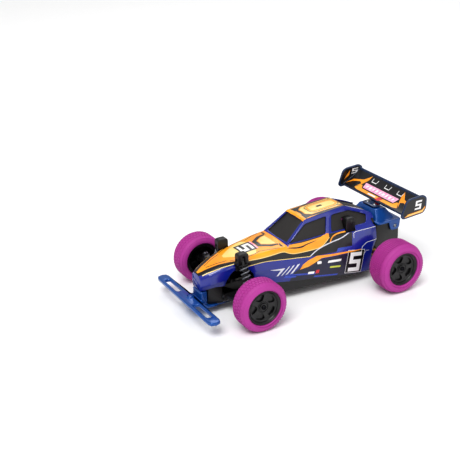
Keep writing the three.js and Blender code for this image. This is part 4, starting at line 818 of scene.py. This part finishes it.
        tongue = both([(1.6, -119.8), (4.2, -113.5), (6.6, -105.5), (9.8, -97), (12.6, -89.5), (16.8, -81),
                       (19.8, -74), (22.4, -62), (24.6, -48), (26.2, -36), (27, -21.4), (19.5, -21.4)])
        edge = both([(5.4, -121), (8.6, -117), (11.6, -111), (15.2, -99.5), (18.4, -88.6), (20.4, -80),
                     (22.6, -66), (24, -52)])
        # Cream lines just inside the black band's outer edge at the nose: painted highlight, drawn where
        # light catches that edge of the hood.
        line = [(8.4, -117.6), (11.2, -111), (14.9, -99.5), (17.7, -88), (18.9, -82)]
        scoop = both([(6.8, -47.6), (15.2, -36), (16.4, -26.6), (13.4, -26.6), (11.2, -34.4), (5.2, -42.6)])
        pad = both([(4.6, -41.6), (10.4, -33.8), (11.8, -28.2)])
        chevrons = [[(s * 23.6, -26.4), (s * 20.6, -24.4), (s * 12.6, -24.6), (s * 18.2,
                                                            -27.2)] for s in (1, -1)]
        number = numeral_five((-7.6, -67.5), 15.2, 15.5, 0, 0)
        creases = [[(s * 1.6, -106), (s * 4.4, -98), (s * 7.6, -92), (s * 5.4, -93.4), (s * 2.6, -99)]
                   for s in (1, -1)]
        whiskers = [piece for s in (1, -1) for piece in
                    ribbon([(s * 14.5, -78), (s * 11.8, -72), (s * 17.6, -62), (s * 20.4, -50)], 0.7)]
        highlight_lines = [piece for s in (1, -1) for piece in ribbon([(s * x, y) for x, y in line], 0.8)]
        outline_lines = [piece for s in (1, -1) for piece in
                         ribbon([(s * 1.9, -110), (s * 6.8, -97), (s * 9.4, -88.5)], 0.8)
                         + ribbon([(s * 12.4, -86), (s * 17.2, -74), (s * 18.6, -60), (s * 16.2, -51),
                                   (s * 20.6, -40), (s * 23.4, -30)], 0.9)]
        return [
            Foil("hood_shadow", INK_BLACK, [edge]),
            # painted highlight: thin cream lines along the black band's edge
            Foil("hood_highlight_line", INK_CREAM, highlight_lines, 1),
            Foil("hood_tongue", INK_GOLD, [tongue], 2),
            Foil("hood_cream", INK_CREAM, [both([(2.2, -88), (8.8, -78.6), (15.6, -68), (17.6, -56), (11,
                                                            -52.5),
                                                 (6, -56.5)])], 3),
            Foil("hood_number_shadow", INK_BLACK, [box_outline((0, -59.8), 20.4, 19.4)], 4),
            Foil("hood_number", INK_WHITE, [number], 5),
            Foil("hood_bar", INK_PINK, [box_outline((0, -49.2), 19, 1.7)], 4),
            Foil("hood_whiskers", INK_ORANGE, whiskers, 4),
            Foil("hood_creases", INK_ORANGE, creases, 3),
            Foil("scoop_shadow", INK_BLACK, [scoop, *chevrons], 4),
            Foil("hood_outline", INK_BLACK, outline_lines, 4),
            Foil("scoop_pad", INK_CREAM, [pad], 4),
        ]

    def roof_foils(self) -> list[Foil]:
        """Draw the roof's foils, as (x, y)."""
        panel = [(-6.6, 14.2), (6.6, 14.2), (11.4, 19.4), (12.4, 60), (-12.4, 60), (-11.4, 19.4)]
        ring = rounded([(-5.6, 22.5), (5.6, 22.5), (7.4, 28), (7.4, 52), (5.2, 57), (-5.2, 57), (-7.4, 52),
                        (-7.4, 28)], 3)
        front = [(-17.4, 4), (17.4, 4), (17.2, 8.6), (6.4, 8.8), (5.2, 10), (-5.2, 10), (-6.4, 8.8),
                 (-17.2, 8.6)]
        flicks = [[(s * 16.9, 10), (s * 15.9, 10), (s * 15.0, 15), (s * 15.6, 27)] for s in (1, -1)]
        marks = [box_outline((0, 36.5), 3.6, 7)] + [box_outline((s * 11, 57.4), 1.4, 5, s) for s in (1, -1)]
        deck_lines = [piece for s in (1, -1) for piece in ribbon([(s * 14.4, 66.8), (s * 15.4, 76),
                                                            (s * 15.2, 88)], 0.6)]
        return [
            Foil("roof_shadow", INK_BLACK, [[(-17.6, 3.2), (17.6, 3.2), (16.8, 30), (15.6, 63.2), (-15.6,
                                                            63.2),
                                             (-16.8, 30)]]),
            Foil("roof_front", INK_GOLD, [front, *flicks], 1),
            Foil("roof_panel", INK_CREAM, [panel], 2),
            Foil("roof_glow", INK_CREAM, [ring], 3),
            Foil("roof_ring", INK_GOLD, ribbon(ring, 2.6, True), 4),
            Foil("roof_gap", INK_BLACK, ribbon([(x * 1.34, 39.5 + (y - 39.5) * 1.12) for x, y in ring],
                                               0.9, True), 4),
            Foil("roof_edges", INK_GOLD, ribbon(panel, 1.2, True), 3),
            Foil("roof_marks", INK_BLACK, marks, 5),
            Foil("deck_lines", INK_WHITE, deck_lines, 1),
        ]


@dataclass
class WingLivery:
    """The printed foils of the rear wing's blade and end plates."""

    surface: Surface
    slot: str = "wing"
    body: str = "chassis"
    half_span: float = 61.0
    plate_mm: float = 2.0

    def build(self) -> None:
        """Lay the foils onto the blade and both faces of each end plate."""
        for foil in self.blade_foils():
            foil.build(self.surface, View.TOP, self.slot, self.body)
        outer = (self.half_span - 0.5, self.half_span + 0.5)
        inner = (self.half_span - self.plate_mm - 0.5, self.half_span - self.plate_mm + 0.5)
        faces = [("outer", View.LEFT, outer, 1), ("outer", View.RIGHT, outer, -1),
                 ("inner", View.RIGHT, inner, 1), ("inner", View.LEFT, inner, -1)]
        for place, view, depth, sign in faces:
            span = depth if sign > 0 else (-depth[1], -depth[0])
            tag = f"{place}_{'left' if sign > 0 else 'right'}"
            for foil in self.plate_foils(view is View.RIGHT, place == "inner"):
                foil.name = f"{foil.name}_{tag}"
                foil.build(self.surface, view, self.slot, self.body, span)

    def blade_foils(self) -> list[Foil]:
        """Draw the blade's foils, as (x, y)."""
        bolt = [[(s * x, y) for x, y in ((58, 114.6), (52.8, 123.6), (38.2, 127.8), (30.4, 134.6), (30.6,
                                                            129.6),
                                         (35.4, 121.4), (40.8, 116.2), (36.6, 122.6), (41.4, 124.2), (51,
                                                            121))]
                for s in (-1, 1)]
        border = [[(s * x, y) for x, y in ((40.2, 114.9), (33.8, 113.5), (12, 113.5), (12, 117.2), (29,
                                                            117.6),
                                           (33, 121.6), (35.6, 121.0))] for s in (-1, 1)]
        middle = [[(-12, 113.5), (12, 113.5), (12, 117.2), (-12, 117.2)]]
        panel = [(-28.6, 118.9), (28.6, 118.9), (31, 125.6), (-31, 125.6)]
        dashes = [box_outline((-24 + 6 * k, 122.3), 2.6 + k % 2, 3.0, 1.2) for k in range(9)]
        hooks = [piece for c in (-21, 3, 26) for piece in
                 ribbon([(c - 4.6, 133.2), (c - 4.0, 129.2), (c + 4.0, 129.2), (c + 4.6, 133.2)], 0.8)]
        return [
            Foil("wing_blade_black", INK_BLACK, [[(-58.4, 111.9), (58.4, 111.9), (58.4, 135.6), (-58.4,
                                                            135.6)]]),
            Foil("wing_bolts", INK_GOLD, bolt, 1),
            Foil("wing_border", INK_GOLD, [*border, *middle], 2),
            Foil("wing_panel", INK_PINK, [panel], 2),
            Foil("wing_dashes", INK_WHITE, dashes, 3),
            Foil("wing_hooks", INK_WHITE, hooks, 1),
            Foil("wing_tile", INK_RED, [rounded([(2.6, 112.4), (5.2, 118.2), (12.6, 116.8), (9, 112.2)],
                                                1)], 3),
            Foil("wing_bar", INK_WHITE, [box_outline((-6.6, 115.2), 14, 1.8, 0.6)], 3),
        ]

    def plate_foils(self, mirrored: bool, inner: bool) -> list[Foil]:
        """Draw an end plate's foils, as (y, z).

        Args:
            mirrored: True where the face is seen from the car's right.
            inner: True for the face towards the blade, which is printed above the blade only.

        Returns:
            The face's foils.
        """
        face = rounded([(107.4, 80.8), (110.2, 77.2), (135.2, 78.8), (138.6, 83.4), (138.8, 94.6), (134.4,
                                                            97.6),
                        (117, 96.4), (112.4, 93.6)], 2)
        foils = [Foil("plate_black", INK_BLACK, [face])]
        corner = (123.6, 83.4) if not inner else (123.8, 89)
        height = 10.6 if not inner else 6.6
        foils.append(Foil("plate_number", INK_WHITE, [numeral_five(corner, 8.6, height, 1.6, 0.1,
                                                            mirrored)], 2))
        if not inner:
            foils.append(Foil("plate_band", INK_ORANGE, [[(109.6, 77.2), (135.2, 78.8), (138.6, 83.4),
                                                         (138.6, 85.6), (134.4, 81.6), (114.5, 80.2)]], 1))
            foils.append(Foil("plate_band_light", INK_CREAM, [[(111.5, 77.9), (134.6, 79.4), (137.4, 83.2),
                                                               (133.6, 80.7), (115.2, 79.4)]], 2))
        else:
            foils.append(Foil("plate_glow", INK_ORANGE, [[(113.4, 84.2), (120.6, 88.2), (122.2, 94.6),
                                                         (117.4, 89.4)]], 1))
        return foils


# ---------------------------------------------------------------- wheels


@dataclass(frozen=True)
class Tread:
    """The blocks of a tyre's tread: how many go round, the rows across, and their shape."""

    around: int
    rows: tuple[tuple[float, float], ...]
    fill: float
    height: float
    stagger: bool

    def blocks(self, radius: float, crown_at: "TyreProfile") -> tuple[list, list]:
        """Place every block on the tyre's crown.

        Args:
            radius: The radius at the blocks' tops on the crown.
            crown_at: The profile that gives the carcass radius at a place across the tyre.

        Returns:
            The points and faces of all the blocks.
        """
        sunk, draft = 0.35, 0.16
        points, faces = [], []
        pitch = 2 * math.pi / self.around
        for row, (x0, x1) in enumerate(self.rows):
            for k in range(self.around):
                middle = (k + (0.5 if self.stagger and row % 2 else 0.0)) * pitch
                half = pitch * self.fill / 2
                start = len(points)
                for level, inset in ((-sunk, 0.0), (self.height, draft)):
                    for x, angle in ((x0 + inset, middle - half), (x1 - inset, middle - half),
                                     (x1 - inset, middle + half), (x0 + inset, middle + half)):
                        lean = inset / radius * (1 if angle < middle else -1)
                        r = min(radius, crown_at.radius_at(x) + level)
                        points.append((x, r * math.cos(angle + lean), r * math.sin(angle + lean)))
                faces += [tuple(start + i for i in face) for face in BOX_FACES]
        return points, faces


@dataclass(frozen=True)
class TyreProfile:
    """The section of a tyre: its outer size, its seat on the rim and its round shoulders."""

    radius: float
    half_width: float
    rim_radius: float
    tread_depth: float
    shoulder: float = 5.4
    clearance: float = 0.35

    def radius_at(self, x: float) -> float:
        """Give the carcass radius at a place across the crown."""
        crown = self.radius - self.tread_depth
        over = abs(x) - (self.half_width - self.shoulder)
        if over <= 0:
            return crown
        t = min(1.0, over / self.shoulder)
        return crown - (self.shoulder + 1.0) * (1 - math.sqrt(1 - t * t))

    def outline(self) -> list[Point]:
        """Draw the closed section, as (radius, x)."""
        w, lip = self.half_width, self.rim_radius + self.clearance
        seat, bead = self.rim_radius - 1.5 + self.clearance, self.half_width - 3.5 - self.clearance
        half = [(seat, bead), (lip, bead), (lip, w - 1.5), (lip + 0.7, w - 0.7), (lip + 1.7, w - 0.55),
                (lip + 1.9, w - 0.85), (lip + 2.3, w - 0.85), (lip + 2.6, w - 0.3)]
        steps = 7
        for k in range(steps + 1):
            x = w - self.shoulder * (1 - math.cos(math.pi / 2 * k / steps))
            half.append((self.radius_at(x), x))
        return half + [(r, -x) for r, x in reversed(half)]


@dataclass
class Wheel:
    """A moulded rim with five broad spokes and a soft tyre."""

    end: str
    side: str
    body: str
    tread: Tread
    through_hub: bool
    spokes: int = 5
    turn_steps: int = 72
    inset: float = 2.0
    dish: float = 3.2
    face_mm: float = 3.0
    boss: float = 1.2
    web_mm: float = 0.9
    screw_hole: float = 1.7

    def __post_init__(self) -> None:
        """Read the wheel's sizes from the CAD boxes."""
        low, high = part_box(f"{self.end}_tyre_{self.side}")
        self.centre = (low + high) / 2 / MM
        self.radius = (high.y - low.y) / 2 / MM
        self.half_width = (high.x - low.x) / 2 / MM
        rim_low, rim_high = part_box(f"{self.end}_rim_{self.side}")
        self.rim_radius = (rim_high.y - rim_low.y) / 2 / MM
        self.hub_hole = 2.8 if self.through_hub else 2.35

    def build(self) -> None:
        """Build the tyre and the rim."""
        self.tyre()
        self.rim()

    def outwards(self, mesh: bpy.types.Mesh) -> bpy.types.Mesh:
        """Turn a mesh made for the left side towards this wheel's side and put it in place."""
        sign = 1 if self.side == "left" else -1
        turn = Matrix.Diagonal((sign, 1, 1, 1))
        mesh.transform(Matrix.Translation(self.centre * MM) @ turn)
        if sign < 0:
            mesh.flip_normals()
        return mesh

    def tyre(self) -> bpy.types.Object:
        """Build the tyre with its tread blocks."""
        profile = TyreProfile(self.radius, self.half_width, self.rim_radius, self.tread.height)
        carcass = lathe_x(profile.outline(), self.turn_steps * 4 // 3)
        blocks = self.tread.blocks(self.radius, profile)
        name = f"{self.end}_tyre_{self.side}_treaded"
        mesh = self.outwards(merged(name, [mesh_from("carcass", *carcass), mesh_from("blocks", *blocks)]))
        obj = mesh_object(name, mesh, RUBBER_MAGENTA)
        shade(obj.data, 35)
        return place_piece(obj, self.body, [f"{self.end}_tyre_{self.side}"])

    def rim(self) -> bpy.types.Object:
        """Build the rim: barrel, spoked face, hub boss and the raised rings round them."""
        w = self.half_width - self.inset
        seat = self.rim_radius - 1.5
        bore = seat - 1.7
        front = w - self.dish
        barrel = lathe_x([(bore, -w + 0.4), (bore + 0.5, -w), (self.rim_radius - 0.3, -w),
                          (self.rim_radius, -w + 0.3),
                          (self.rim_radius, -w + 1.5), (seat, -w + 1.5), (seat, w - 1.5),
                          (self.rim_radius, w - 1.5),
                          (self.rim_radius, w - 0.4), (self.rim_radius - 0.4, w), (self.rim_radius - 1.2, w),
                          (self.rim_radius - 1.6, w - 0.5), (bore + 0.6, w - 1.1), (bore, w - 2)],
                          self.turn_steps)
        ring = [(math.cos(a) * (bore + 0.4), math.sin(a) * (bore + 0.4)) for a in
                (2 * math.pi * k / self.turn_steps for k in range(self.turn_steps))]
        face = plate_x("rim_face", [ring, *self.openings(bore)], front - self.face_mm, front, 0.35)
        hub = lathe_x([(self.hub_hole, -w + 6), (4.4, -w + 6), (4.4, front - 0.2), (4.4,
                                                            front + self.boss - 0.3),
                       (4.1, front + self.boss), (self.screw_hole, front + self.boss),
                       (self.screw_hole, front - 0.6), (self.hub_hole, front - 0.6)], 32)
        back = front - self.face_mm
        web = lathe_x([(self.hub_hole + 0.4, back), (bore + 0.3, back), (bore + 0.3, back + self.web_mm),
                       (self.hub_hole + 0.4, back + self.web_mm)], self.turn_steps)
        collar = lathe_x([(5.3, front - 0.4), (6.4, front - 0.4), (6.3, front + 0.45), (6.0, front + 0.7),
                          (5.6, front + 0.7), (5.3, front + 0.4)], 40)
        step = lathe_x([(bore - 1.5, front - 0.3), (bore + 0.3, front - 0.3), (bore + 0.3, front + 0.9),
                        (bore - 0.6, front + 0.7), (bore - 1.4, front + 0.2)], self.turn_steps)
        solids = [mesh_from("rim_part", *part) for part in (barrel, hub, web, collar, step)]
        name = f"{self.end}_rim_{self.side}_spoked"
        mesh = self.outwards(merged(name, [face, *solids]))
        obj = mesh_object(name, mesh, RIM_NYLON)
        shade(obj.data, 35)
        return place_piece(obj, self.body, [f"{self.end}_rim_{self.side}"])

    def openings(self, bore: float) -> list[Outline]:
        """Draw the rounded openings between the spokes, as (y, z)."""
        result = []
        outer, hub = bore - 1.6, 7.5
        for k in range(self.spokes):
            middle = (k + 0.5) * 2 * math.pi / self.spokes
            corners = [(hub, -0.2), (outer - 1.6, -0.44), (outer, -0.34), (outer + 0.4, 0), (outer, 0.34),
                       (outer - 1.6, 0.44), (hub, 0.2)]
            result.append(rounded([(r * math.cos(middle + a), r * math.sin(middle + a)) for r,
                                   a in corners], 1.4, 3))
        return result


FRONT_TREAD = Tread(around=48, rows=((-10.9, -7.2), (-6.8, -2.4), (-2.0, 2.0), (2.4, 6.8), (7.2, 10.9)),
                    fill=0.7,
                    height=0.55, stagger=True)
REAR_TREAD = Tread(around=80, rows=((-13.4, -8.2), (-7.8, -0.2), (0.2, 7.8), (8.2, 13.4)), fill=0.58,
                   height=0.75, stagger=False)


# ---------------------------------------------------------------- springs and screws


@dataclass
class ShockSpring:
    """A coil spring round one shock, with closed end turns."""

    side: str
    turns: float = 5.2
    wire: float = 1.45
    per_turn: int = 28
    round_steps: int = 10

    def build(self) -> bpy.types.Object:
        """Wind the wire between the CAD spring's ends and let it ride on the shock's body.

        Returns:
            The spring.
        """
        joints = {joint["name"]: joint for joint in frame["joints"]}
        pivot = Vector(joints[f"shock_pivot_{self.side}"]["pos_m"]) / MM
        slide = joints[f"shock_slide_{self.side}"]
        down = -Vector(slide["axis"]).normalized()
        low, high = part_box(f"shock_spring_{self.side}")
        coil = (high.y - low.y) / MM / 2 - self.wire / 2
        tilt = (coil + self.wire / 2) * abs(down.x)
        start = (pivot.z - high.z / MM + tilt) / -down.z + self.wire / 2
        end = (pivot.z - low.z / MM - tilt) / -down.z - self.wire / 2
        across = Vector((0, 1, 0))
        side = down.cross(across)
        points, faces = [], []
        count = round(self.turns * self.per_turn)
        for k in range(count + 1):
            t = k / count
            angle = t * self.turns * 2 * math.pi
            depth = start + (end - start) * t
            out = across * math.cos(angle) + side * math.sin(angle)
            centre = pivot + down * depth + out * coil
            for i in range(self.round_steps):
                turn = 2 * math.pi * i / self.round_steps
                points.append(tuple(centre + (out * math.cos(turn) + down * math.sin(turn)) * self.wire / 2))
        for k in range(count):
            for i in range(self.round_steps):
                a, b = k * self.round_steps, (k + 1) * self.round_steps
                j = (i + 1) % self.round_steps
                faces.append((a + i, a + j, b + j, b + i))
        faces.append(tuple(reversed(range(self.round_steps))))
        faces.append(tuple(range(count * self.round_steps, (count + 1) * self.round_steps)))
        obj = mesh_object(f"shock_spring_{self.side}_wound", mesh_from("spring", points, faces), SPRING_STEEL)
        shade(obj.data, 50)
        place_piece(obj, f"shock_body_{self.side}", [f"shock_spring_{self.side}"])
        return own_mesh(obj)


@dataclass
class CrossHeadScrew:
    """A pan-head screw with a cross recess, showing only its head."""

    name: str
    place: Vector
    direction: Vector
    body: str = "chassis"
    head: float = 2.2
    height: float = 1.3
    recess: float = 1.15
    finish: Finish = ZINC_STEEL

    def build(self) -> bpy.types.Object:
        """Turn the head and cut its recess.

        Returns:
            The screw head.
        """
        dome = [(self.head * math.sin(a), self.height * math.cos(a)) for a in
                (math.pi / 2 * k / 6 for k in range(1, 7))]
        profile = [(0.02, -0.6), (self.head * 0.55, -0.6), (self.head * 0.55, 0.0), *reversed(dome),
                   (0.02, self.height)]
        points, faces = lathe_x(profile, 32)
        obj = mesh_object(self.name, mesh_from(self.name, points, faces), self.finish)
        arms = []
        for width, length in ((0.34, self.recess), (self.recess, 0.34)):
            arms.append(mesh_from("recess", [(self.height * 0.45 if i < 4 else self.height + 1,
                                              width * (1, -1, -1, 1)[i % 4], length * (1, 1, -1, -1)[i % 4])
                                             for i in range(8)], BOX_FACES))
        for arm in arms:
            tool = mesh_object("recess_tool", arm, ZINC_STEEL)
            cut = obj.modifiers.new("recess", "BOOLEAN")
            cut.operation = "DIFFERENCE"
            cut.solver = "EXACT"
            cut.object = tool
            settle(obj)
            bpy.data.objects.remove(tool)
        shade(obj.data, 35)
        turn = Vector((1, 0, 0)).rotation_difference(self.direction).to_matrix().to_4x4()
        obj.data.transform(Matrix.Translation(self.place * MM) @ turn)
        return place_piece(obj, self.body)


# ---------------------------------------------------------------- sub-assemblies


@dataclass
class Body:
    """The shell with its livery, and the dark moulding behind its windows."""

    shell: Moulding = field(default_factory=lambda: Moulding("body_shell", "body_shell", SHELL_BLUE, 0.35,
                                                            2, 12.0))
    insert: Moulding = field(default_factory=lambda: Moulding("window_insert", "window", WINDOW_CHARCOAL,
                                                            0.3, 2, 14.0))

    def build(self) -> None:
        """Dress the shell, lay its foils and dress the window moulding."""
        self.insert.build()
        ShellLivery(Surface(self.shell.build())).build()


@dataclass
class Wing:
    """The rear wing, its saddle and the two screws that hold them together."""

    screw_x: float = 6.5
    post_y: float = 109.7
    saddle_screw_z: float = 53.5

    def build(self) -> None:
        """Dress the wing and its mount."""
        wing = Moulding("rear_wing", "wing", WING_BLUE, 0.4).build()
        WingLivery(Surface(wing)).build()
        Moulding("wing_mount", "blue_moulding", MOULDING_BLUE, 0.5, 3).build()
        mount_low, mount_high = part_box("wing_mount")
        gearbox_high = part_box("gearbox_upper")[1]
        for side, sign in (("left", 1), ("right", -1)):
            CrossHeadScrew(f"wing_screw_{side}", Vector((sign * self.screw_x, self.post_y,
                                                         mount_high.z / MM + 2.55)),
                           Vector((0, 0, 1))).build()
            CrossHeadScrew(f"saddle_screw_{side}",
                           Vector((mount_high.x / MM * sign, gearbox_high.y / MM - 6.65,
                                   self.saddle_screw_z)),
                           Vector((sign, 0, 0)), head=2.0, height=0.9).build()


@dataclass
class FrontEnd:
    """The bumper, the front suspension and the steering."""

    def build(self) -> None:
        """Dress every part of the front end on both sides."""
        Moulding("front_bumper", "blue_moulding", MOULDING_BLUE, 1.45, 5, 35.0).build()
        Moulding("shock_tower", "chassis", TUB_ABS, 0.5, 3).build()
        Moulding("steering_box", "chassis", TUB_ABS).build()
        Moulding("steering_horn", "gear", GEAR_NYLON).build()
        Moulding("tie_rod", "suspension", ARM_NYLON).build()
        Moulding("trim_lever", "chassis", TUB_ABS).build()
        pivots = {joint["name"]: joint.get("pos_m") for joint in frame["joints"]}
        for side in ("left", "right"):
            for node in ("front_arm", "knuckle", "shock_body"):
                Moulding(f"{node}_{side}", "suspension", ARM_NYLON, 0.25).build()
            for node in ("arm_pin", "kingpin", "shock_rod", "bumper_screw"):
                Moulding(f"{node}_{side}", "steel", ZINC_STEEL, 0.1, 1).build()
            Moulding(f"front_wheel_screw_{side}", "steel", BLACK_OXIDE, 0.1, 1).build()
            ShockSpring(side).build()
            pivot = Vector(pivots[f"shock_pivot_{side}"]) / MM
            for face, reach, direction in (("front", -6.35, -1), ("rear", 6.35, 1)):
                CrossHeadScrew(f"cap_screw_{face}_{side}", Vector((pivot.x, pivot.y + reach, pivot.z)),
                               Vector((0, direction, 0)), head=1.7, height=0.8, finish=BLACK_OXIDE).build()


@dataclass
class Drive:
    """The gearbox, its gears and motor, the rear axle with its screws, and the rear caps."""

    def build(self) -> None:
        """Dress the drive train."""
        for node in ("gearbox_lower", "gearbox_upper"):
            Moulding(node, "chassis", TUB_ABS, 0.35).build()
        for node in ("axle_gear", "compound_gear"):
            Moulding(node, "gear", GEAR_NYLON, 0.0).build()
        Moulding("motor_pinion", "brass", BRASS, 0.0).build()
        Moulding("drive_motor", "steel", MOTOR_CAN).build()
        for node in ("compound_pin", "rear_axle"):
            Moulding(node, "steel", ZINC_STEEL, 0.15, 1).build()
        for side in ("left", "right"):
            Moulding(f"axle_bushing_{side}", "brass", BRASS, 0.15, 1).build()
            Moulding(f"rear_wheel_screw_{side}", "steel", BLACK_OXIDE, 0.1, 1).build()
            Moulding(f"rear_cap_{side}", "chassis", TUB_ABS, 0.5, 3).build()


@dataclass
class Chassis:
    """The tub with its battery box, cells, door, receiver board and switch."""

    cells: int = 4

    def build(self) -> None:
        """Dress the tub and what it holds."""
        Moulding("chassis_tub", "chassis", TUB_ABS, 0.35).build()
        Moulding("battery_box", "chassis", TUB_ABS, 0.15, 1).build()
        Moulding("battery_door", "chassis", TUB_ABS, 0.2).build()
        Moulding("power_switch", "chassis", TUB_ABS, 0.2).build()
        Moulding("receiver_board", "board", BOARD_MASK, 0.15, 1).build()
        for number in range(1, self.cells + 1):
            Moulding(f"battery_cell_{number}", "cell", CELL_WRAP, 0.3).build()


# ---------------------------------------------------------------- studio


@dataclass
class Studio:
    """A pale floor, even soft light and the camera."""

    camera_at: Vector = field(default_factory=lambda: Vector((832.3, -529.6, 505.4)))
    aim_at: Vector = field(default_factory=lambda: Vector((0.0, -77.8, 85.4)))
    roll_deg: float = -1.85
    lens_mm: float = 75.58
    sensor_mm: float = 36.0
    floor_half: float = 6000.0

    def build(self) -> None:
        """Set the floor, the lights and the camera."""
        self.floor()
        self.sky()
        self.sun(1.35, 38.0)
        self.lamp("key", Vector((700, -900, 1500)), 900.0, 8.0)
        self.lamp("fill", Vector((1500, 500, 700)), 1200.0, 4.0)
        self.lamp("rim", Vector((-900, 700, 1300)), 900.0, 5.0)
        bpy.context.scene.view_settings.view_transform = "Standard"
        bpy.context.scene.view_settings.look = "Medium High Contrast"
        self.camera()

    def floor(self) -> None:
        """Lay the floor, with a gentle rise behind the car."""
        reach = self.floor_half
        steps = 24
        points, faces = [], []
        for i in range(steps + 1):
            for j in range(steps + 1):
                u, v = (2 * i / steps - 1) * reach, (2 * j / steps - 1) * reach
                rise = max(0.0, math.hypot(u, v) - 2500.0)
                points.append((u, v, rise * rise / 4.0e4))
        for i in range(steps):
            for j in range(steps):
                a = i * (steps + 1) + j
                faces.append((a, a + 1, a + steps + 2, a + steps + 1))
        paper = Finish("studio_paper", "#f4f4f4", "#f1f1f1", 0.9, grain_mm=4.0, grain_depth_mm=0.01)
        floor = mesh_object("studio_floor", mesh_from("floor", points, faces), paper)
        shade(floor.data, 60)
        if floor.data.polygons[0].normal.z < 0:
            floor.data.flip_normals()

    def sky(self) -> None:
        """Light the whole scene evenly from all round."""
        world = bpy.data.worlds.new("studio_sky")
        world.use_nodes = True
        tree = world.node_tree
        tree.nodes.clear()
        light = add_node(tree, "ShaderNodeBackground", {"Color": linear("#ffffff"), "Strength": 0.42})
        add_node(tree, "ShaderNodeOutputWorld", {}, {"Surface": light.outputs["Background"]})
        bpy.context.scene.world = world

    def sun(self, strength: float, softness_deg: float) -> None:
        """Light the car and the whole floor evenly from high on its front left.

        Args:
            strength: Its light on a surface that faces it, in watts per square metre.
            softness_deg: The angle that its disc covers.
        """
        data = bpy.data.lights.new("sun", "SUN")
        data.energy = strength
        data.angle = math.radians(softness_deg)
        lamp = bpy.data.objects.new("sun", data)
        lamp.rotation_euler = Vector((-0.35, 0.4, -1.0)).to_track_quat("-Z", "Y").to_euler()
        bpy.context.scene.collection.objects.link(lamp)

    def lamp(self, name: str, place: Vector, size: float, power: float) -> None:
        """Hang one soft lamp that points at the car.

        Args:
            name: The lamp's name.
            place: Where it hangs, in millimetres.
            size: The side of its square panel, in millimetres.
            power: Its power in watts.
        """
        data = bpy.data.lights.new(name, "AREA")
        data.size = size * MM
        data.energy = power
        lamp = bpy.data.objects.new(name, data)
        lamp.location = place * MM
        lamp.rotation_euler = (-place).to_track_quat("-Z", "Y").to_euler()
        bpy.context.scene.collection.objects.link(lamp)

    def camera(self) -> None:
        """Place the camera and turn it to the car."""
        data = bpy.data.cameras.new("studio_camera")
        data.lens = self.lens_mm
        data.sensor_width = self.sensor_mm
        data.clip_end = 100.0
        camera = bpy.data.objects.new("studio_camera", data)
        look = (self.aim_at - self.camera_at).to_track_quat("-Z", "Y").to_matrix().to_4x4()
        roll = Euler((0, 0, math.radians(self.roll_deg))).to_matrix().to_4x4()
        camera.matrix_world = Matrix.Translation(self.camera_at * MM) @ look @ roll
        bpy.context.scene.collection.objects.link(camera)
        bpy.context.scene.camera = camera


def main() -> None:
    """Build the buggy piece by piece."""
    logging.basicConfig(level=logging.INFO, format="%(name)s: %(message)s")
    Studio().build()
    Body().build()
    Chassis().build()
    FrontEnd().build()
    Drive().build()
    Wing().build()
    for side in ("left", "right"):
        Wheel("front", side, f"front_wheel_{side}", FRONT_TREAD, through_hub=True).build()
        Wheel("rear", side, "rear_axle", REAR_TREAD, through_hub=False).build()


if __name__ == "__main__":
    main()
